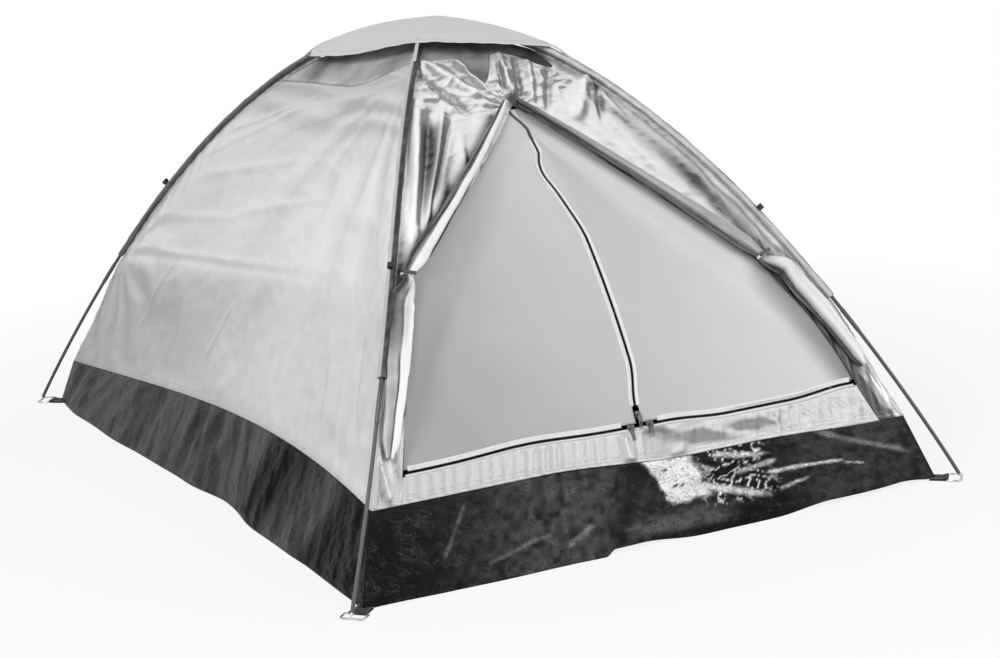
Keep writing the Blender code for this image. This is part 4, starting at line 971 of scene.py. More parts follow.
def tub_wall(side, s, down):
    """Points of the upright part of the tub, before its folds."""
    top = wall(side, s, tub_edge(side, s) + 0.0006)
    half, out = half_and_out(side, FLOOR_CORNER)
    lift = 0.0052 * hump(1.0, 0.02, np.abs(s))
    bow = FLOOR_BOW[side] * (1 - s * s)
    if side == "front":
        lift += 0.009 * smoothstep(-0.225, -0.185, s) * smoothstep(0.10, -0.10, s)
        bow -= 0.012 * smoothstep(-0.225, -0.175, s) * smoothstep(0.15, -0.08, s)
        lift += 0.010 * smoothstep(0.38, 0.62, s) * smoothstep(1.0, 0.90, s)
    if side == "left":
        bow = bow - 0.024 * hump(0.10, 0.42, s) + 0.016 * smoothstep(-1.0, -0.8, s) * smoothstep(0.15, -0.05, s)
        bow += 0.012 * hump(0.36, 0.12, s)
    foot = on_side(side, s * half, out + bow, lift)
    return top + (foot - top) * down[..., None]


TUB_FOLDS = (  # on the front: from and to, each as (metres across, share down); width and height
    ((-0.29, 0.25), (-0.27, 0.90), 0.016, 0.0080), ((-0.245, 0.20), (-0.235, 0.85), 0.012, -0.0080),
    ((0.00, 0.02), (-0.11, 1.00), 0.020, 0.0090), ((-0.05, 0.02), (-0.15, 0.95), 0.018, -0.0090),
    ((0.10, 0.25), (0.34, 0.05), 0.012, 0.0090), ((0.14, 0.42), (0.46, 0.16), 0.012, -0.0100),
    ((0.20, 0.62), (0.50, 0.38), 0.014, 0.0090), ((0.50, 0.10), (0.66, 0.70), 0.010, -0.0070),
    ((-0.62, 0.05), (-0.50, 0.80), 0.016, 0.0070), ((-0.44, 0.02), (-0.40, 0.75), 0.010, -0.0060))


def tub_folds(side, s, down, seed):
    """Creases of the tub's upright part; on the front, also its own folds and its slack."""
    u, v = s * half_and_out(side, FLOOR_CORNER)[0], down * TUB_HEIGHT
    slant = np.sin((u + 0.9 * v) / 0.019 + 3.0 * noise(u / 0.13, v / 0.12, seed))
    slant = np.sign(slant) * np.abs(slant) ** 0.6 * (0.35 + 0.65 * np.abs(noise(u / 0.22, 0.3, seed + 1)))
    slant *= 0.0018 if side in SHORT_SIDES else 0.0050
    facets = 0.0042 * crumple(u + 0.35 * v, v * 0.4, 0.060, seed + 2) + 0.0016 * crumple(u, v, 0.028, seed + 3)
    slack = 0.0
    if side == "front":
        slack = with_folds(slack, u, v, TUB_FOLDS, lambda place: (place[0], place[1] * TUB_HEIGHT))
        lean = smoothstep(0.0, 0.06, u) * smoothstep(0.52, 0.36, u)
        slack = slack - 0.012 * lean * hump(0.55, 0.26, down) + 0.006 * lean * hump(0.88, 0.12, down)
    window = smoothstep(0, 0.10, down) * edge_window(s, -1, 1, 0.04)
    return (slant + facets + slack) * window * smoothstep(1.0, 0.90, down)


TUB_HIGHLIGHTS = (  # painted highlight lines: from and to, each as (metres across, metres down); width and strength
    ((0.00, 0.016), (0.15, 0.082), 0.009, 0.80), ((0.13, 0.076), (0.28, 0.120), 0.008, 0.65),
    ((0.29, 0.072), (0.49, 0.081), 0.004, 0.70), ((0.31, 0.114), (0.40, 0.109), 0.004, 0.50),
    ((0.49, 0.087), (0.54, 0.099), 0.003, 0.45), ((0.45, 0.001), (0.68, 0.094), 0.008, 0.16),
    ((0.16, 0.008), (0.30, 0.030), 0.006, 0.50), ((0.22, 0.062), (0.33, 0.050), 0.005, 0.45),
    ((-0.43, 0.135), (-0.28, 0.105), 0.004, 0.09), ((-0.48, 0.020), (-0.53, 0.110), 0.006, 0.08),
    ((-0.24, 0.138), (-0.17, 0.104), 0.006, 0.14), ((-0.10, 0.138), (0.19, 0.128), 0.020, 0.07))


def tub_shine(side, s, down):
    """The tub's painted shade and highlights: 0.5 is plain, less is painted shade, and more is a painted reflection
    of the light.
    """
    if side != "front":
        # Painted shade on the sides and back: a dark band, a darker end, and broad bands of painted shade across
        # them.
        towards = s + 0.25 * down if side == "left" else -s
        dark = 0.66 * hump(0.555, 0.105, towards) + 0.50 * smoothstep(0.84, 0.92, towards)
        bands = 0.14 * noise(s * FLOOR_Y / 0.060 + down * 0.9, down * 0.5, 141)
        bands += 0.10 * noise(s / 0.022 + down * 1.5, down, 142)
        return np.clip(0.50 - dark + bands + 0.04 * smoothstep(0.6, 1.0, down), 0.0, 0.515)
    # On the front: a painted highlight patch, painted highlight lines and curls, and a faint painted sheen.
    u, v = s * FLOOR_X, down * TUB_HEIGHT
    ragged = noise(u / 0.024, v / 0.012, 135) + 0.6 * noise((u + v) / 0.008, v / 0.005, 137)
    rough = 0.005 * ragged
    left_end, right_end = u + 0.025 - 0.48 * v + rough, 0.112 + 0.40 * v - u + rough
    patch = smoothstep(0.0, 0.014, left_end) * smoothstep(0.0, 0.030, right_end) * smoothstep(0.101, 0.086, v + rough)
    shine = 0.95 * patch * smoothstep(-1.25, -0.75, ragged)
    for start, end, width, strength in TUB_HIGHLIGHTS:
        line = np.abs(pulled_fold(u, v, start, end, width, 1.0))
        shine = np.maximum(shine, strength * smoothstep(0.10, 1.0, line * (1 + 0.45 * ragged)))
    swirl = np.abs(noise((u + v) / 0.024, (v - 0.3 * u) / 0.011, 139))
    curls = smoothstep(0.20, 0.06, swirl) * smoothstep(0.10, 0.15, u) * smoothstep(0.33, 0.25, u)
    painted_haze = 0.045 * hump(-0.24, 0.20, u) + 0.020 * smoothstep(0.28, 0.42, u)
    painted_haze *= np.clip(1 + 0.9 * noise(u / 0.016, v / 0.012, 143), 0, 2)
    painted_haze *= 1 - 0.8 * hump(-0.07, 0.022, u + 0.5 * (v - 0.07))
    return 0.5 + 0.5 * np.clip(np.maximum(shine, 0.8 * curls * smoothstep(0.128, 0.105, v)) + painted_haze, 0, 1)


def tub_foot(number, s, down):
    """How far the edge on the ground wanders."""
    return 0.0065 * noise(s * 5.5, 0.7, 115 + number) * smoothstep(0.3, 1.0, down) * edge_window(s, -1, 1, 0.06)


def tub():
    """The black sheet: upright part, turned in under the floor and closed there."""
    base, folds, shine = (all_round(TUB_COLUMNS, np.linspace(0, 1, 48)[:, None], build) for build in (
        lambda number, *spot: tub_wall(*spot),
        lambda number, side, s, down: tub_folds(side, s, down, 111 + 10 * number) + tub_foot(number, s, down),
        lambda number, *spot: tub_shine(*spot)))
    upright = base + unit(base * LEVEL) * folds[..., None]
    inward = np.array([0.975, 0.92, 0.80, 0.60, 0.35, 0.12])[:, None, None]
    points = np.concatenate([upright, upright[-1:] * LEVEL * inward])
    # The part turned in under the floor is painted a little darker, in shade.
    shine = np.concatenate([shine, np.full((len(inward), base.shape[1]), 0.4)])
    piece = make_cloth("tub_sheet", points, tub_black, thickness=0, wrap=True, tone=shine)
    with edited(piece.data) as shape:
        rim = [e for e in shape.edges if e.is_boundary and e.verts[0].co.z < 0.01]
        bmesh.ops.contextual_create(shape, geom=rim)
    thicken(piece, COATED)
    settle(piece, ["tub_floor"])
    width, length = 2 * (FLOOR_X + TUB_UPTURN), 2 * (FLOOR_Y + TUB_UPTURN)
    declare(piece, (width, length, width * length))


tub()

# %% [markdown]
# ## Mesh roof and vent cap
# Under the cap the tent is closed with black netting. The cap is a loose oblong of pale cloth
# that stands off it, with a hem all round and a strap at each corner down to the sleeve.

# %% Mesh roof
def roof():
    counts = {"front": 110, "right": 90, "back": 70, "left": 90}
    share = np.linspace(1.0, 0.03, 26)[:, None]
    base = all_round(counts, share, lambda number, side, s, part: wall(
        side, s, np.maximum((roof_edge(side, s) - 0.0010) * part, 0.004)))
    along = np.linspace(0, 40, base.shape[1])[None, :]
    sag = -0.0022 * (1 + noise(along, share * 5, 141)) * smoothstep(1.0, 0.9, share)
    piece = make_cloth("roof_net", pushed(base, sag, wrap=True), roof_netting, THIN, wrap=True)
    settle(piece, ["roof_mesh"])
    declare(piece, (0.60, 0.86, area_of(closed_up(base))))


roof()

# %% Vent cap
CAP_RHO, CAP_RHO_NEAR, CAP_OFFSET, CAP_CROWN = 0.250, 0.172, 0.0205, 0.006


def cap_grid(shares, lift=0.0):
    """Points of the cap, ring by ring from its hem inwards; its near corner is cut back."""
    def one_side(number, side, s, share):
        near = {"front": (1 - s) / 2, "left": (1 + s) / 2}.get(side, 0 * s)
        hang = 0.052 * smoothstep(1.0, -0.35, s) * smoothstep(-1.0, -0.75, s) if side == "left" else 0.0
        rho = (CAP_RHO + (CAP_RHO_NEAR - CAP_RHO) * near + hang) * share
        corner = arch(rho) + arch_normal(rho) * (CAP_OFFSET + lift)
        half, out = half_and_out(side, corner)
        crown = CAP_CROWN * (1 - s * s) * share**1.5
        slack = 0.0014 * noise(s * 3 + number * 9, share * 4, 151) + 0.0004 * np.sin(s * 21 + 3 * share + number)
        return on_side(side, s * half, out, corner[..., 2] + crown + slack * (1 - s**8) * share)

    return all_round(dict.fromkeys(SIDES, 90), shares, one_side)


def cap_strap(corner, x_sign, y_sign):
    """A narrow strap from the cap's corner down to the sleeve."""
    edge = CAP_RHO_NEAR if corner == "front_left" else CAP_RHO
    rho = edge + np.array([-0.030, -0.010, 0.010, 0.028, 0.042, 0.055])
    away = np.array([0.0200, 0.0206, 0.0180, 0.0130, 0.0105, 0.0095])
    line = arch(rho) + arch_normal(rho) * away[:, None]
    side = np.array([-FOOT_Y, FOOT_X, 0.0]) / HALF_DIAGONAL
    points = line[:, None, :] + side * np.linspace(-0.0042, 0.0042, 5)[None, :, None]
    return make_cloth(f"cap_strap_{corner}", points * np.array([x_sign, y_sign, 1]), band_silver, DOUBLED)


def cap():
    base = cap_grid(np.linspace(1.0, 0.015, 40)[:, None])
    cloth = make_cloth("vent_cap_cloth", base, cap_pale, CAP, wrap=True, tone=0.6)
    rim = cap_grid(np.linspace(1.004, 0.94, 5)[:, None], 0.0008)
    hem = make_cloth("vent_cap_hem", rim, band_silver, DOUBLED, wrap=True, tone=0.8)
    straps = [cap_strap(corner, *signs) for corner, signs in CORNERS.items()]
    settle(cloth, ["vent_cap"])
    for piece in (hem, *straps):
        settle(piece)
    declare(cloth, (0.44, 0.62, area_of(closed_up(base))), [hem, *straps])


cap()

# %% [markdown]
# ## The mesh door
# Two halves of grey netting meet at the upright zip. The cloth stands a little proud along that
# zip and is drawn straight along a line from the top of the doorway to its lower corner. That
# line is where a half folds back when it is opened, so the mesh bends there and nowhere else.

# %% The shape of the mesh door
MESH_RECESS, LEAF_TOP, FOLD_TOP_X, FOLD_FOOT_X, LEAF_FLAT = 0.0030, 0.800, 0.012, 0.555, 0.011
PARK_TOP, PARK_SIDE = 0.270, 0.045  # where the sliders park, up the zip and beside it


def circle_through(points):
    """Centre and radius of the circle through three points of a plane."""
    rows = np.array([[2 * p[0], 2 * p[1], 1.0] for p in points])
    a, b, c = np.linalg.solve(rows, np.array([p[0] ** 2 + p[1] ** 2 for p in points]))
    return float(a), float(b), math.sqrt(c + a * a + b * b)


ARC_OUT, ARC_HEIGHT, ARC_RADIUS = circle_through(
    [(float(seam_at(h)[1]) - MESH_RECESS, h) for h in (ZIP_LINE, 0.560, DOOR_APEX)])


def zip_out(height):
    """The upright zip's distance outward at a height."""
    return ARC_OUT + np.sqrt(ARC_RADIUS**2 - (height - ARC_HEIGHT) ** 2)


def zip_normal(height):
    """The way out of the zip at a height."""
    return np.stack([0 * height, -(zip_out(height) - ARC_OUT) / ARC_RADIUS, (height - ARC_HEIGHT) / ARC_RADIUS], -1)


FOLD_TOP = np.array([FOLD_TOP_X, -float(zip_out(LEAF_TOP)), LEAF_TOP])
LEAF_FOOT = ZIP_LINE + 0.006
FOLD_FOOT = np.array([FOLD_FOOT_X, -float(zip_out(LEAF_FOOT)), LEAF_FOOT])


def fold_at(height):
    """The fold line's distance sideways and outward at a height."""
    share = (height - FOLD_FOOT[2]) / (FOLD_TOP[2] - FOLD_FOOT[2])
    return (FOLD_FOOT[0] + (FOLD_TOP[0] - FOLD_FOOT[0]) * share,
            -(FOLD_FOOT[1] + (FOLD_TOP[1] - FOLD_FOOT[1]) * share))


def door_surface(x, height):
    """The mesh door's surface, from the zip to the doorway's edge."""
    fold_x, fold_out = fold_at(height)
    flat = np.minimum(LEAF_FLAT, np.maximum(fold_x, 0.001) / 2)
    near = np.clip((np.abs(x) - flat) / np.maximum(fold_x - flat, 0.001), 0, 1)
    eased = np.sin(np.pi / 2 * near) ** 2
    leaf = zip_out(height) * (1 - eased) + fold_out * eased
    edge_out = seam_at(height)[1] - MESH_RECESS
    past = np.clip((np.abs(x) - fold_x) / np.maximum(door_edge(height, x > 0) + 0.004 - fold_x, 0.002), 0, 1)
    eased = np.cos(np.pi / 2 * past) ** 2
    margin = edge_out * (1 - eased) + fold_out * eased
    out = np.where(height >= LEAF_TOP, edge_out, np.where(np.abs(x) < fold_x, leaf, margin))
    return np.stack([x, -out, height + 0 * x], -1)


print("the zip runs on a circle of", round(ARC_RADIUS, 3), "m")


# %% Mesh door halves
def door_half(word, sign):
    above, leaf = np.linspace(DOOR_APEX - 0.006, LEAF_TOP, 14), np.linspace(LEAF_TOP, LEAF_FOOT + 0.0002, 110)
    rows = np.concatenate([above[:-1], leaf])
    inner = np.where(rows > LEAF_TOP - 0.004, 0.0003, 0.0030)
    inner = np.where(rows < PARK_TOP - 0.002, 0.0078, inner)  # room for the parked slider
    outer = np.maximum(door_edge(rows, sign > 0) + 0.0006, inner + 0.002)
    t = np.linspace(0, 1, 96)[None, :]
    x = sign * (inner[:, None] + (outer - inner)[:, None] * t) + wander(rows)[:, None] * (1 - t)
    height = rows[:, None] + sway(x) * smoothstep(0.40, 0.236, rows)[:, None]
    base = door_surface(x, height)
    from_fold = np.abs(np.abs(x) - fold_at(height)[0])
    still = smoothstep(0.012, 0.06, from_fold) * smoothstep(0.008, 0.06, np.abs(x))
    still = still * smoothstep(0.0, 0.05, height - LEAF_FOOT) * smoothstep(0.0, 0.04, 1 - t)
    folds = 0.0022 * noise(x / 0.20, height / 0.16, 161) + 0.0012 * fan(x, -height, (0.0, -0.80), 9, 0.2, 162)
    shade = 0.5
    if sign > 0:  # the rolled half beside it shades its edge
        reach = 0.040 + 0.036 * smoothstep(0.52, 0.42, height)
        shade = 0.5 - 0.36 * smoothstep(reach, 0.006, door_edge(height, True) - np.abs(x))
    piece = make_cloth(f"door_net_{word}", pushed(base, folds * still), door_netting, THIN, tone=shade)
    top, foot = FOLD_TOP * np.array([sign, 1, 1]), FOLD_FOOT * np.array([sign, 1, 1])
    along, inward = unit(top - foot), np.array([-sign, 0.0, 0.0])
    inward = unit(inward - along * float(inward @ along))
    middle = (top + foot) / 2
    tuple(middle - inward * 0.007)
    tuple(middle + inward * 0.007)
    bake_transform(piece)
    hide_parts(f"door_leaf_{word}", f"door_margin_{word}")
    declare(piece, cut_size(base))


for word, sign in (("left", -1), ("right", 1)):
    door_half(word, sign)

# %% [markdown]
# ## Things that repeat along a line
# Zip teeth and stitches are the same small shape many times over. One Geometry Nodes tree turns
# a line into a curve, cuts it at a fixed pitch, and sets the shape at each point, upright along
# the vector that the line carries. The result is made a plain mesh.

# %% A tree that repeats a shape along a line
def new_tree(name, inputs, middle):
    """A tree that turns a line into a curve, works on it, and makes the result real and painted."""
    tree = bpy.data.node_groups.new(name, "GeometryNodeTree")
    for word, kind, value in (("Line", "Geometry", None), *inputs, ("Material", "Material", None)):
        socket = tree.interface.new_socket(word, in_out="INPUT", socket_type=f"NodeSocket{kind}")
        if value is not None:
            socket.default_value = value
    tree.interface.new_socket("Geometry", in_out="OUTPUT", socket_type="NodeSocketGeometry")

    def link(*wires):
        for source, output, target, into in wires:
            tree.links.new(source.outputs[output], target.inputs[into])

    new = tree.nodes.new
    start, end, curve = new("NodeGroupInput"), new("NodeGroupOutput"), new("GeometryNodeMeshToCurve")
    real, paint = new("GeometryNodeRealizeInstances"), new("GeometryNodeSetMaterial")
    link((start, "Line", curve, 0), (middle(new, link, start, curve), 0, real, 0), (real, 0, paint, "Geometry"),
         (start, "Material", paint, "Material"), (paint, 0, end, "Geometry"))
    return tree


def repeat(new, link, start, curve):
    """Cuts the curve at a fixed pitch and stands the shape on every point."""
    cut, place, shape = (new(f"GeometryNode{kind}") for kind in ("ResampleCurve", "InstanceOnPoints", "ObjectInfo"))
    up, tangent = new("GeometryNodeInputNamedAttribute"), new("GeometryNodeInputTangent")
    stand, lie = new("FunctionNodeAlignRotationToVector"), new("FunctionNodeAlignRotationToVector")
    cut.mode, up.data_type = "LENGTH", "FLOAT_VECTOR"
    up.inputs["Name"].default_value = "up"
    stand.axis, lie.axis, lie.pivot_axis = "Z", "X", "Z"
    link((curve, 0, cut, "Curve"), (start, "Pitch", cut, "Length"), (cut, 0, place, "Points"),
         (up, "Attribute", stand, "Vector"), (stand, 0, lie, "Rotation"), (tangent, 0, lie, "Vector"),
         (start, "Shape", shape, "Object"), (shape, "Geometry", place, "Instance"), (lie, 0, place, "Rotation"))
    return place


REPEAT = new_tree("repeat_along_line", (("Shape", "Object", None), ("Pitch", "Float", 0.002)), repeat)


def line_object(name, points, ups):
    """A line of edges that carries an upward vector at each point."""
    mesh = bpy.data.meshes.new(name)
    mesh.from_pydata([tuple(p) for p in points], [(i, i + 1) for i in range(len(points) - 1)], [])
    carried = mesh.attributes.new("up", "FLOAT_VECTOR", "POINT")
    carried.data.foreach_set("vector", np.broadcast_to(ups, np.shape(points)).reshape(-1).astype(np.float32))
    return placed(name, mesh)


def grown(name, points, ups, tree, **inputs):
    """What a tree makes of a line, as a plain mesh; each input is set by its socket's identifier."""
    line = line_object(name, points, ups)
    growth = line.modifiers.new("growth", "NODES")
    growth.node_group = tree
    names = {item.name: item.identifier for item in tree.interface.items_tree if item.item_type == "SOCKET"}
    for word, value in inputs.items():
        growth[names[word]] = value
    bpy.context.view_layer.update()
    mesh = bpy.data.meshes.new_from_object(line.evaluated_get(bpy.context.evaluated_depsgraph_get()))
    mesh.name = name
    bpy.data.objects.remove(line)
    return placed(name, mesh)


def repeated(name, lines, shape, pitch, finish):
    """The shape along one or several lines, as one plain mesh."""
    return joined(name, [grown(f"{name}_{number}", *line, REPEAT, Shape=shape, Pitch=pitch, Material=finish)
                         for number, line in enumerate(lines)])


def small_shape(name, build):
    """A small mesh to be repeated; it is never in the scene, and is removed at the end."""
    mesh = bpy.data.meshes.new(name)
    with edited(mesh) as shape:
        build(shape)
    return bpy.data.objects.new(name, mesh)


def bar(shape, radius, axis):
    """A short six-sided bar."""
    bmesh.ops.create_cone(shape, cap_ends=True, segments=6, radius1=radius, radius2=radius, depth=0.0030,
                          matrix=Matrix.Rotation(math.pi / 2, 4, axis))


def tooth(shape):
    """One turn of the zip's coil: a short bar through a block."""
    bar(shape, 0.00052, "X")
    bmesh.ops.create_cube(shape, size=1, matrix=Matrix.Diagonal((0.0011, 0.0012, 0.0019, 1)))


def stitch(shape):
    """One thread stitch, a short bar that lies along the seam."""
    bar(shape, 0.00034, "Y")


TOOTH, STITCH = small_shape("tooth", tooth), small_shape("stitch", stitch)
print("one tooth has", len(TOOTH.data.polygons), "faces")

# %% [markdown]
# ## Zips
# Each zip is a black coil between two white tapes with a rolled edge. The upright coils and the
# upper coils of the bottom zip are put on one body for each door half; the lower coil is sewn to the sill.

# %% Zip coils and tapes
SILL_END, TOOTH_PITCH = 0.553, 0.0017
BOTTOM_OUT = zip_normal(ZIP_LINE)
BOTTOM_UP = np.array([0.0, BOTTOM_OUT[2], -BOTTOM_OUT[1]])
BOTTOM_SPOT = np.array([0.0, -float(zip_out(ZIP_LINE)), ZIP_LINE])


def ribbon(name, centre, across, out, profile, finish):
    """A strip along a line; the profile gives its section as (across, out) pairs."""
    across, out = (np.broadcast_to(way, centre.shape) for way in (across, out))
    points = np.array([[c + a * p + o * q for p, q in profile] for c, a, o in zip(centre, across, out)])
    rows, cols = points.shape[:2]
    faces = [(i * cols + j, i * cols + (j + 1) % cols, (i + 1) * cols + (j + 1) % cols, (i + 1) * cols + j)
             for i in range(rows - 1) for j in range(cols)]
    faces += [tuple(range(cols))[::-1], tuple((rows - 1) * cols + j for j in range(cols))]
    mesh = bpy.data.meshes.new(name)
    mesh.from_pydata(points.reshape(-1, 3).tolist(), [], faces)
    with edited(mesh) as shape:
        bmesh.ops.recalc_face_normals(shape, faces=shape.faces)
    mesh.materials.append(finish)
    made = placed(name, mesh)
    mesh.shade_smooth()
    mesh.set_sharp_from_angle(angle=math.radians(45))
    return made


def strap_profile(half, thin, bulge):
    """The section of a flat strap, with sides that bulge a little."""
    return [(-half, -thin), (half, -thin), (half + bulge, 0.0), (half, thin), (-half, thin), (-half - bulge, 0.0)]


TAPE_PROFILE = [(0.0024, -0.0005), (0.0092, -0.0005), (0.0098, 0.0002), (0.0094, 0.0015), (0.0080, 0.0021),
                (0.0066, 0.0016), (0.0058, 0.0008), (0.0024, 0.0007)]


def upright_line(sign):
    """The line of one upright coil, with its ways across and outward."""
    height = np.linspace(PARK_TOP + 0.001, LEAF_TOP - 0.005, 60)
    spots = np.stack([wander(height), -zip_out(height), height], -1)
    return spots, np.array([sign, 0.0, 0.0]), zip_normal(height)


def bottom_line(start, end, up, count=40):
    """The line of a bottom coil."""
    x = np.linspace(start, end, count)
    spots = BOTTOM_SPOT + np.stack([x, 0 * x, 0 * x], -1) + BOTTOM_UP * sway(x)[:, None]
    return spots, BOTTOM_UP * up, BOTTOM_OUT


def zip_side(name, line, reach=1.0):
    """A coil and its tape on one side of a zip; reach widens the tape."""
    spots, across, out = line
    coil_spots = spots + across * (COIL_GAP + COIL_WIDTH / 2)
    coil = repeated(f"{name}_coil", [(coil_spots, out)], TOOTH, TOOTH_PITCH, coil_black)
    cloth = ribbon(f"{name}_tape", spots, across * np.reshape(reach, (-1, 1)), out, TAPE_PROFILE, zip_tape_white)
    return coil, cloth


for word, sign in (("left", -1), ("right", 1)):
    line = upright_line(sign)
    coil, cloth = zip_side(f"zip_upright_{word}", line, 0.90 + 0.34 * smoothstep(0.76, 0.50, line[0][:, 2]))
    low_coil, low_cloth = zip_side(f"zip_low_{word}", bottom_line(sign * PARK_SIDE, sign * ZIP_END, 1.0), 1.4)
    for slot, pair in (("zip_coil", (coil, low_coil)), ("grey_door_mesh", (cloth, low_cloth))):
        for piece in pair:
            settle(piece, body=f"leaf_{word}")
sill_coil, sill_tape = zip_side("zip_sill", bottom_line(-SILL_END, SILL_END, -1.0, 80))
settle(sill_coil, ["zip_sill"])
settle(sill_tape)
print("teeth on the sill:", len(sill_coil.data.polygons) // len(TOOTH.data.polygons))

# %% [markdown]
# ## Sliders, pull tabs and corner pins
# These are small castings and bent wire. Their solids have the right form already, so each one
# is only given rounded edges on a copy and a worn zinc finish.

# %% Rounded metal parts
def rounded(node, name, width, finish, body, angle=30):
    """A copy of a solid with rounded edges."""
    mesh = bpy.data.meshes.new(name)
    with edited(mesh, nodes[node].data) as shape:
        bmesh.ops.remove_doubles(shape, verts=shape.verts, dist=0.00001)
        bmesh.ops.dissolve_limit(shape, angle_limit=math.radians(2), verts=shape.verts, edges=shape.edges)
    mesh.materials.append(finish)
    piece = placed(name, mesh)
    edge = piece.modifiers.new("edges", "BEVEL")
    edge.width, edge.segments, edge.use_clamp_overlap = width, 2, True
    edge.limit_method, edge.angle_limit = "ANGLE", math.radians(angle)
    mesh.shade_smooth()
    mesh.set_sharp_from_angle(angle=math.radians(50))
    settle(piece, [node], body)


for word, body in (("centre", "centre"), ("bottom_left", "left"), ("bottom_right", "right")):
    rounded(f"slider_{word}", f"zip_slider_{word}", 0.00035, slider_zinc, f"slider_{body}")
    rounded(f"pull_tab_{word}", f"zip_pull_{word}", 0.00030, slider_zinc, f"tab_{body}")
for corner in CORNERS:
    rounded(f"corner_pin_{corner}", f"ring_pin_{corner}", 0.0004, pin_zinc, "tent", angle=50)

# %% [markdown]
# ## Poles
# A pole is a chain of glass-fibre tubes, each with a steel ferrule on one end. A second tree
# sweeps a round section along a line, with the ferrule as a wider tube over its first part, so
# one rule makes all the sections. Elastic cord runs through their bores.

# %% A tree that sweeps a tube along a line
def sweep(new, link, start, curve):
    """Sweeps a round section along the curve."""
    ring, swept, soft = (new(f"GeometryNode{kind}") for kind in
                         ("CurvePrimitiveCircle", "CurveToMesh", "SetShadeSmooth"))
    swept.inputs["Fill Caps"].default_value = True
    link((start, "Radius", ring, "Radius"), (start, "Corners", ring, "Resolution"), (curve, 0, swept, "Curve"),
         (ring, 0, swept, "Profile Curve"), (swept, 0, soft, "Geometry"))
    return soft


TUBE = new_tree("tube_along_line", (("Radius", "Float", 0.004), ("Corners", "Int", 16)), sweep)


def tube(name, points, radius, finish, corners=16):
    """A round tube along points."""
    return grown(name, points, np.zeros(3), TUBE, Radius=radius, Corners=corners, Material=finish)


# %% Pole sections
SECTIONS, CROSS_LIFT, FOOT_CLEAR, FERRULE_REACH, CORD_CLEAR = 8, 0.0112, 0.016, 0.030, 0.055
ROD, FERRULE, CORD = 0.00425, 0.0050, 0.0013  # radii


def pole_line(lifted):
    """A pole's axis from foot to foot with the distance along it; the second pole rides over the first."""
    rho = np.linspace(1.0, -1.0, 4001)
    points = arch(np.abs(rho))
    sign = np.where(rho > 0, -1.0, 1.0)
    height = points[:, 2] + (CROSS_LIFT * (1 - smoothstep(0.0, 0.55, np.abs(rho))) if lifted else 0.0)
    line = np.stack([sign * points[:, 0], sign * points[:, 1] * (-1 if lifted else 1), height], -1)
    return line, distance_along(line), rho


POLES = {"a": pole_line(False), "b": pole_line(True)}


def along_pole(pole, marks):
    """Points of a pole at some distances along it."""
    line, reach, _ = POLES[pole]
    return np.stack([np.interp(marks, reach, line[:, i]) for i in range(3)], -1)


def pole_marks(pole, count):
    """Distances that part the fibre of a pole evenly, from one end to the other."""
    return np.linspace(FOOT_CLEAR, POLES[pole][1][-1] - FOOT_CLEAR, count + 1)


for pole in POLES:
    marks = pole_marks(pole, SECTIONS)
    for number in range(SECTIONS):
        low, high = marks[number], marks[number + 1] - 0.0006
        parts = [tube(f"rod_{number}", along_pole(pole, np.linspace(low, high, 34)), ROD, pole_black)]
        if number:
            seat = along_pole(pole, np.linspace(low - FERRULE_REACH, low + FERRULE_REACH, 12))
            parts.append(tube(f"ferrule_{number}", seat, FERRULE, ferrule_steel))
        section = joined(f"fibre_section_{pole}_{number + 1}", parts)
        settle(section, [f"pole_{pole}_section_{number + 1}"])
    path = along_pole(pole, np.linspace(marks[0] + CORD_CLEAR, marks[-1] - CORD_CLEAR, 70))
    settle(tube(f"elastic_in_pole_{pole}", path, CORD, elastic_white, 8), [f"shock_cord_{pole}"])
    print("pole", pole, "is", round(float(POLES[pole][1][-1]), 3), "m long")

# %% [markdown]
# ## The closed top of the zip
# Above the last tooth the coil runs on as a loose cord between its tapes, up to the point of the
# doorway.

# %% The cord at the zip's end
rise = np.linspace(LEAF_TOP - 0.003, DOOR_APEX - 0.010, 24)
bend = 0.004 * np.sin((rise - LEAF_TOP) * 90) * smoothstep(LEAF_TOP, LEAF_TOP + 0.015, rise)
bend = -0.014 * smoothstep(LEAF_TOP, DOOR_APEX, rise) + bend
top_spots = np.stack([bend, -zip_out(rise) - 0.0012, rise], -1)
top_cord = tube("zip_top_cord", top_spots, 0.0034, coil_black, 10)
settle(top_cord)

# %% [markdown]
# ## Sleeves
# A sleeve is a flat tube of grey cloth with the pole loose inside. It puckers along its length,
# and its two seam allowances show as a pale band on each wall beside it.

# %% Sleeves and seam bands
CORNER_POLES = {"front_left": ("a", False), "back_right": ("a", True),
                "back_left": ("b", False), "front_right": ("b", True)}
SLEEVE_CLOTH, SLEEVE_FREE = 0.058, 0.055  # the width of its cloth, and how far short of the crossing it ends
SLEEVE_ROWS = 260


def place_of_rho(pole, rho, far_end):
    """The distance along a pole of a place on its arch."""
    _, reach, rhos = POLES[pole]
    return float(np.interp(-rho if far_end else rho, rhos[::-1], reach[::-1]))


def directions(points):
    """Along, sideways and outward at each point of a line."""
    along = unit(np.gradient(points, axis=0))
    side = unit(np.stack([-along[:, 1], along[:, 0], 0 * along[:, 0]], -1))
    return along, side, np.cross(along, side)


def sleeve_seam(corner, signs):
    """The cloth between a sleeve and the corner seam that carries it."""
    pole, far_end = CORNER_POLES[corner]
    rho = np.linspace(0.07, SLEEVE_END - 0.004, 160)
    axis = along_pole(pole, [place_of_rho(pole, r, far_end) for r in rho])
    low = (seam(rho) + arch_normal(rho) * 0.0006) * np.array([*signs, 1])
    high = axis + unit(low - axis) * 0.0066
    points = low[:, None] + (high - low)[:, None] * np.linspace(0, 1, 4)[None, :, None]
    piece = make_cloth(f"sleeve_seam_{corner}", points, sleeve_grey, tone=0.22)
    return settle(piece)


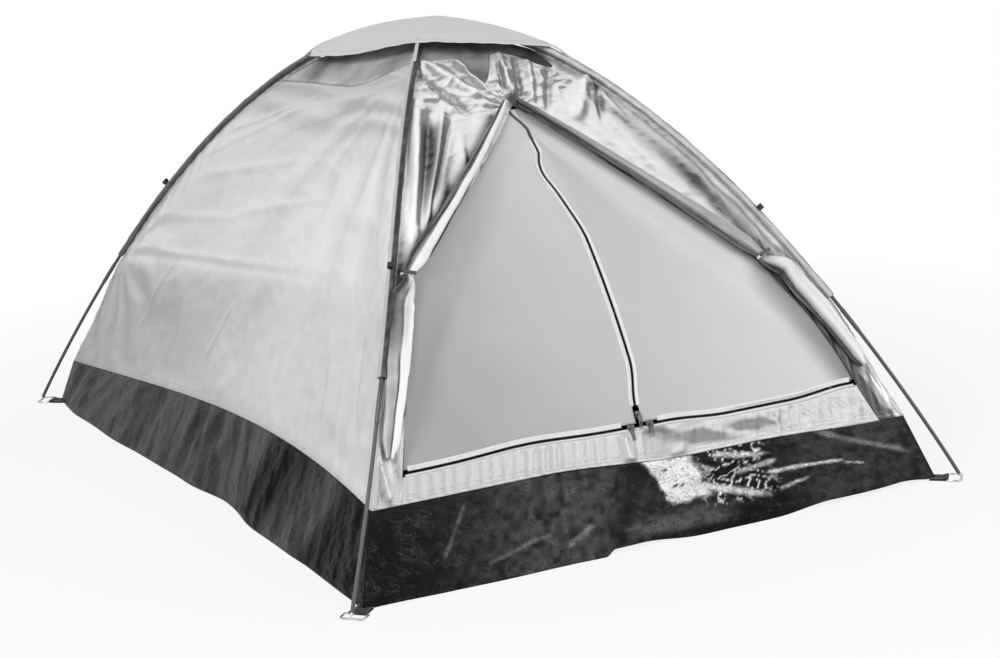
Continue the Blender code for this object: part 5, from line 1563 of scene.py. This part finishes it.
def sleeve(corner, seed):
    pole, far_end = CORNER_POLES[corner]
    low = place_of_rho(pole, SLEEVE_END, far_end)
    top = POLES[pole][1][-1] / 2 + (SLEEVE_FREE if far_end else -SLEEVE_FREE)
    length = abs(top - low)
    points = along_pole(pole, np.linspace(low, top, SLEEVE_ROWS))
    _, side, out = directions(points)
    place = np.linspace(0, length, SLEEVE_ROWS)[:, None]
    turn = np.linspace(0, 2 * np.pi, 28, endpoint=False)[None, :]
    pucker = 0.00035 * np.sin(place / 0.0062 + 3.5 * noise(place / 0.04, 0.5, seed) + 2 * np.cos(turn))
    pucker += 0.0010 * noise(place / 0.035, turn, seed + 1)
    wide, high = 0.0094 + pucker, 0.0070 + pucker * 0.7
    ring = side[:, None] * (wide * np.cos(turn))[..., None] + out[:, None] * (high * np.sin(turn))[..., None]
    # Painted light and shade round each sleeve: the front ones lit on one side and black on the other, the back ones
    # in painted shade, a little lighter outward; the puckers are painted lighter.
    if corner.startswith("front"):
        tone = 0.03 + 0.87 * smoothstep(-0.10, 0.30, np.cos(turn)) + pucker * 90
    else:
        tone = 0.14 + 0.16 * smoothstep(-0.2, 0.6, np.sin(turn)) + pucker * 60
    piece = make_cloth(f"pole_sleeve_{corner}", points[:, None] + ring, sleeve_grey, 0, True, tone)
    with edited(piece.data) as shape:
        bmesh.ops.recalc_face_normals(shape, faces=shape.faces)
        middle = Vector(points[SLEEVE_ROWS // 2])
        probe = min(shape.faces, key=lambda face: (face.calc_center_median() - middle).length)
        if probe.normal.dot(probe.calc_center_median() - middle) < 0:
            bmesh.ops.reverse_faces(shape, faces=shape.faces)
    thicken(piece, COATED)
    settle(piece, [f"sleeve_{corner}"])
    size = (SLEEVE_CLOTH, length, SLEEVE_CLOTH * length)
    declare(piece, size, [sleeve_seam(corner, CORNERS[corner])])


for number, corner in enumerate(CORNERS):
    sleeve(corner, 171 + 5 * number)


BAND_ROWS = 220


def seam_band(corner, x_sign, y_sign):
    """A pale seam allowance on each wall beside a corner, from the cap down to the tub."""
    low_end = float(tub_edge("front", x_sign)) if y_sign < 0 else TUB_TOP + 0.012
    rho, across = np.linspace(0.255, low_end, BAND_ROWS), np.linspace(-1, 1, 13)
    rows = []
    for share in across:
        step = np.zeros((BAND_ROWS, 3))
        step[:, 0 if share < 0 else 1] = -np.abs(share) * 0.0110
        rows.append(seam(rho) + step + arch_normal(rho) * 0.0012 * (1.0 - 0.3 * abs(share)))
    points = np.stack(rows, 1) * np.array([x_sign, y_sign, 1])
    row = np.arange(BAND_ROWS)[:, None]
    pucker = 0.0009 * np.sin(row / 1.3 + 3 * noise(row / 9, 0.1, 201))
    folds = pucker * edge_window(across, -1, 1, 0.3)
    piece = make_cloth(f"seam_band_{corner}", pushed(points, folds), band_silver, THIN)
    settle(piece)
    declare(piece, cut_size(points))


for corner, signs in CORNERS.items():
    seam_band(corner, *signs)

# %% [markdown]
# ## Rolled door halves
# Each half of the outer door is rolled up edge over edge. The roll is narrow at the top of the
# doorway, full in its middle and pinched at the tie, and its tail hangs down beside the mesh.
# Waves round its section stand for the layers, and they twist as they run along it.

# %% Rolled door halves
def front_normal(height):
    """The way square to the front wall at a height."""
    low, high = seam_at(height - 0.01)[1], seam_at(height + 0.01)[1]
    return unit(np.stack([0 * height, -0.02 + 0 * height, low - high], -1))


ROLL_ROWS = 90  # from the doorway's top to the tie, and again from there to the end of the tail
WAIST, TIE_GAP = ROLL_ROWS - 1, 0.0022


def roll_route(sign):
    """Middle line, half width and half thickness of a rolled door half; the tie is at the waist row."""
    share = np.linspace(0, 1, ROLL_ROWS)
    wide_x, high = (float(part) for part in shoulder(sign > 0))
    height = DOOR_APEX + 0.004 + (high - DOOR_APEX) * share
    x = (0.012 if sign > 0 else 0.020) + (wide_x - (0.004 if sign > 0 else 0.008)) * share
    wide = (0.0060 + 0.0150 * share**0.9) * (1 - 0.46 * smoothstep(0.90, 1.0, share))
    tail = share[1:]
    low = high + (0.262 - high) * tail
    spread = wide[-1] + 0.0150 * smoothstep(0.0, 0.14, tail) - 0.0075 * smoothstep(0.30, 0.80, tail)
    tail_wide = spread - (spread - 0.0085) * smoothstep(0.86, 1.0, tail) ** 1.5
    beside = side_edge(low, 1) + 0.034 if sign > 0 else seam_at(low)[0] * 0.948
    tail_x = x[-1] + (beside - x[-1]) * smoothstep(0.0, 0.12, tail) + 0.006 * smoothstep(0.6, 1.0, tail)
    height, x, wide = np.concatenate([height, low]), np.concatenate([x, tail_x]), np.concatenate([wide, tail_wide])
    out = front_normal(height)
    thick = 0.0030 + 0.52 * wide
    flat = smoothstep(0.30 if sign > 0 else 0.16, 0.0, tail)
    thick[ROLL_ROWS:] = 0.0042 + (thick[ROLL_ROWS:] - 0.0042) * flat
    base = np.stack([sign * x, -seam_at(height)[1], height], -1)
    return base + out * (thick + 0.0042)[:, None], out, wide, thick


def rolled(word, sign, seed):
    spots, out, wide, thick = roll_route(sign)
    along = unit(np.gradient(spots, axis=0))
    across = unit(np.cross(along, out))
    up = np.cross(across, along)
    place = distance_along(spots)[:, None]
    turn = np.linspace(0, 2 * np.pi, 72, endpoint=False)[None, :]
    twist = 2.2 * noise(place / 0.30, 0.5, seed) + place * 5.0
    layers = 0.085 * np.sin(3 * turn + twist) + 0.055 * np.sin(5 * turn - 1.7 * twist + 1.0)
    lip = 0.16 * hump(0.35, 0.20, (turn + 0.35 * twist) % (2 * np.pi) - 1.2)
    fine = 0.05 * crumple(turn * 0.02 + place * 0.1, place, 0.045, seed + 1)
    pinch = smoothstep(0.0, 0.05, np.abs(place - place[WAIST]))
    swell = 1 + (layers + lip + fine) * (0.35 + 0.65 * pinch) * smoothstep(0.0, 0.05, place)
    ring = (across[:, None] * (wide[:, None] * swell * np.cos(turn))[..., None]
            + up[:, None] * (thick[:, None] * swell * np.sin(turn))[..., None])
    # Painted light and shade round the roll and its tail: one side lit and the other dark, with painted shadow lines,
    # and the bulging layers painted lighter.
    outer = -sign * np.cos(turn) + 0.10 * noise(place / 0.06, 0.4, seed + 2)
    hanging = smoothstep(place[WAIST], place[WAIST] + 0.05, place)
    if sign < 0:
        tight = smoothstep(-1.00, -0.80, outer) * (1 - 0.95 * smoothstep(0.05, 0.30, outer))
        fallen = smoothstep(place[WAIST], place[-1], place)
        loose = 0.02 + 0.42 * smoothstep(0.12, 0.55, fallen) + 0.90 * smoothstep(-0.15, -0.40, outer)
        loose -= 0.55 * hump(-0.15, 0.10, outer) * smoothstep(0.35, 0.55, fallen)
    else:
        tight = 0.02 + 0.09 * smoothstep(0.10, 0.30, place) + 0.60 * smoothstep(0.45, 0.90, outer)
        tight += 0.30 * smoothstep(-0.85, -0.40, outer)
        tight *= 0.30 + 0.70 * smoothstep(0.0, 0.10, place)
        loose = 0.12 + 0.80 * smoothstep(-0.90, 0.25, outer) - 0.4 * hump(-0.80, 0.10, outer)
    tone = tight * (1 - hanging) + loose * hanging + (1.6 if sign < 0 else 0.45) * (swell - 1)
    piece = make_cloth(f"door_roll_{word}", spots[:, None] + ring, roll_silver, 0, True, tone)
    with edited(piece.data) as shape:
        for is_top in (True, False):
            rim = [e for e in shape.edges if e.is_boundary and (e.verts[0].co.z > 0.5) == is_top]
            bmesh.ops.contextual_create(shape, geom=rim)
        bmesh.ops.recalc_face_normals(shape, faces=shape.faces)
    settle(piece, [f"rolled_flap_{word}"])
    return [values[WAIST] for values in (spots, along, across, up, wide, thick)]


def tie(word, waist, along, across, up, wide, thick):
    """An elastic loop with a toggle bar at the waist of a roll."""
    turn = np.linspace(0, 2 * np.pi, 40)
    wide_arm, thick_arm = across * (wide + TIE_GAP), up * (thick + TIE_GAP)
    loop = waist + wide_arm * np.cos(turn)[:, None] + thick_arm * np.sin(turn)[:, None]
    flat = strap_profile(0.0030, 0.0007, 0.0002)
    band = ribbon(f"flap_loop_{word}", loop, along, unit(loop - waist), flat, elastic_white)
    middle = waist + up * (thick + 0.0062)
    rod = np.linspace(-0.015, 0.015, 13)[:, None] * across + middle
    toggle = tube(f"flap_toggle_{word}", rod, 0.0036, slider_zinc, 14)
    settle(band, [f"flap_tie_{word}"])
    settle(toggle)


for word, sign in (("left", -1), ("right", 1)):
    tie(word, *rolled(word, sign, 211 + sign))

# %% [markdown]
# ## Corner tapes, guy loops and stitches
# Black tape holds each ring at a corner of the floor, and small tape loops on the sleeves take
# guy lines. Rows of stitches follow the tub seam and the corner tapes.

# %% Corner tapes
RING_HEIGHT, RING_LENGTH, WIRE, WEB_THICK, WEB_HALF = 0.0043, 0.032, 0.0020, 0.0012, 0.018
TAPE_PITCH, SEAM_PITCH, GUY_RHO, UP = 0.0042, 0.0046, 0.640, np.array([0.0, 0.0, 1.0])


def pole_end(corner):
    """The lower end of a pole and its direction into the pole."""
    pole, far_end = CORNER_POLES[corner]
    marks = pole_marks(pole, SECTIONS * 4)
    end, inner = along_pole(pole, marks[[-1, -2]] if far_end else marks[:2])
    return end, unit(inner - end)


def corner_tape(corner, x_sign, y_sign):
    end, axis = pole_end(corner)
    base = end - axis * ((end[2] - RING_HEIGHT) / axis[2])
    floor_corner = np.array([x_sign * FLOOR_X, y_sign * FLOOR_Y, 0.0])
    way = unit(np.array([x_sign * FOOT_X, y_sign * FOOT_Y, 0.0]) - floor_corner)
    start = floor_corner - way * 0.012
    reach = float((base - way * RING_LENGTH - start) @ way)
    bend, thin = WIRE + 0.0005 + WEB_THICK / 2, WEB_THICK / 2
    path = [(t * reach, RING_HEIGHT - bend) for t in np.linspace(0, 1, 10)]
    path += [(reach + bend * math.cos(a), RING_HEIGHT + bend * math.sin(a)) for a in np.linspace(-1.4, 1.5, 10)]
    path += [(reach - t, RING_HEIGHT + bend - 0.0030 * min(t / 0.010, 1.0)) for t in np.linspace(0.003, reach, 12)]
    path = np.array(path)
    sideways = np.array([-way[1], way[0], 0.0])
    spots = start + way * path[:, :1] + UP * path[:, 1:]
    run = np.gradient(path, axis=0)
    run /= np.linalg.norm(run, axis=1, keepdims=True) + 1e-9
    out = way * -run[:, 1:] + UP * run[:, :1]
    flat = strap_profile(WEB_HALF, thin, 0.0003)
    piece = ribbon(f"corner_tape_{corner}", spots, sideways, out, flat, webbing_black)
    settle(piece, [f"corner_webbing_{corner}"])
    line = start + way * np.linspace(0.004, reach - 0.006, 12)[:, None]
    line[:, 2] = RING_HEIGHT + bend - 0.0030 + thin + 0.0001
    rows = [(line + sideways * side, UP) for side in (-0.014, 0.014)]
    settle(repeated(f"tape_stitches_{corner}", rows, STITCH, TAPE_PITCH, thread_grey))


for corner, signs in CORNERS.items():
    corner_tape(corner, *signs)


# %% Guy loops
def guy_loop(corner):
    pole, far_end = CORNER_POLES[corner]
    mark = place_of_rho(pole, GUY_RHO, far_end)
    points = along_pole(pole, np.linspace(mark - 0.004, mark + 0.004, 3))
    along, side, out = (ways[1] for ways in directions(points))
    turn = np.linspace(0, 2 * np.pi, 37)
    loop = (points[1] + out * (0.0083 + 0.0052 * (1 - np.cos(turn)))[:, None]
            + side * (0.0060 * np.sin(turn) * (1 - 0.25 * np.cos(turn)))[:, None])
    way = unit(-out * np.cos(turn)[:, None] * 0.6 + side * np.sin(turn)[:, None])
    flat = strap_profile(0.006, 0.0006, 0.0002)
    piece = ribbon(f"guy_tape_{corner}", loop, along, way, flat, webbing_black)
    settle(piece, [f"guy_loop_{corner}"])


for corner in CORNERS:
    guy_loop(corner)


# %% Stitches
def seam_stitches():
    rows = []
    for side in SIDES:
        s = np.linspace(-0.985, 0.985, 160)
        for drop in (0.004, 0.008):
            points = wall(side, s, tub_edge(side, s) - drop)
            tip = wall(side, s, tub_edge(side, s) - drop + 0.004) - points
            out = unit(np.cross(np.gradient(points, axis=0), tip))
            out *= np.sign(np.sum(out * (points - MIDDLE), 1, keepdims=True))
            rows.append((points + out * 0.0008, out))
    return settle(repeated("tub_seam_stitches", rows, STITCH, SEAM_PITCH, thread_grey))


stitches = seam_stitches()
print("stitches round the tub:", len(stitches.data.polygons) // len(STITCH.data.polygons))

# %% [markdown]
# ## Floor, light and background
# The tent stands on a plain pale floor under large soft lamps, as in a shop's photograph. One
# lamp high on the left lights the long wall, and a second one brightens the front. The shine on
# the tub is painted into its colour. The floor shows white to the camera and keeps a faint shadow.

# %% Stage
SKY_GREY = 0.42


def seen_directly(tree):
    """1 on what the camera sees straight, in a mirror or through glass."""
    path = tree.nodes.new("ShaderNodeLightPath")
    camera_ray, glossy, through = (Number(tree, path.outputs[n]) for n in
                                   ("Is Camera Ray", "Is Glossy Ray", "Is Transmission Ray"))
    return (camera_ray + glossy + through).clamp()


def stage():
    bpy.ops.mesh.primitive_plane_add(size=160)
    ground = bpy.context.object
    ground.name = "ground"
    made = Finish("floor_white", (0.80, 0.80, 0.80), 0.9)
    spot = made.place(flat=False)
    far = made.node("ShaderNodeVectorMath", spot, settings={"operation": "LENGTH"}, out=1)
    open_floor = ((far - 1.2) * 0.9).clamp()
    glow = made.node("ShaderNodeEmission", Color=(1, 1, 1, 1), Strength=1.0)
    share = seen_directly(made.tree) * (open_floor * 0.16 + 0.84)
    lit = made.node("ShaderNodeMixShader", share, Number(made.tree, made.shader.outputs[0]), glow)
    fill(made.tree, made.tree.nodes["Material Output"].inputs[0], lit)
    ground.data.materials.append(made.material)


def lamp(name, spot, aim, size, watts):
    light = bpy.data.lights.new(name, "AREA")
    light.size, light.energy = size, watts
    made = placed(name, light)
    made.location = spot
    made.rotation_euler = (Vector(aim) - Vector(spot)).to_track_quat("-Z", "Y").to_euler()


def sky():
    world = bpy.data.worlds.new("studio")
    bpy.context.scene.world = world
    world.use_nodes = True
    tree = world.node_tree
    backdrop = mixed(tree, seen_directly(tree), (SKY_GREY,) * 3, (1.0,) * 3)
    fill(tree, tree.nodes["Background"].inputs["Color"], backdrop)


stage()
sky()
lamp("key", (-4.4, -2.2, 4.2), (0, 0, 0.5), 2.2, 170)
lamp("front", (2.65, -4.78, 2.12), (0.1, -0.95, 0.1), 0.9, 75)
bpy.context.scene.view_settings.view_transform = "Standard"

# %% Finish
for spare in (TOOTH, STITCH):
    bpy.data.objects.remove(spare)
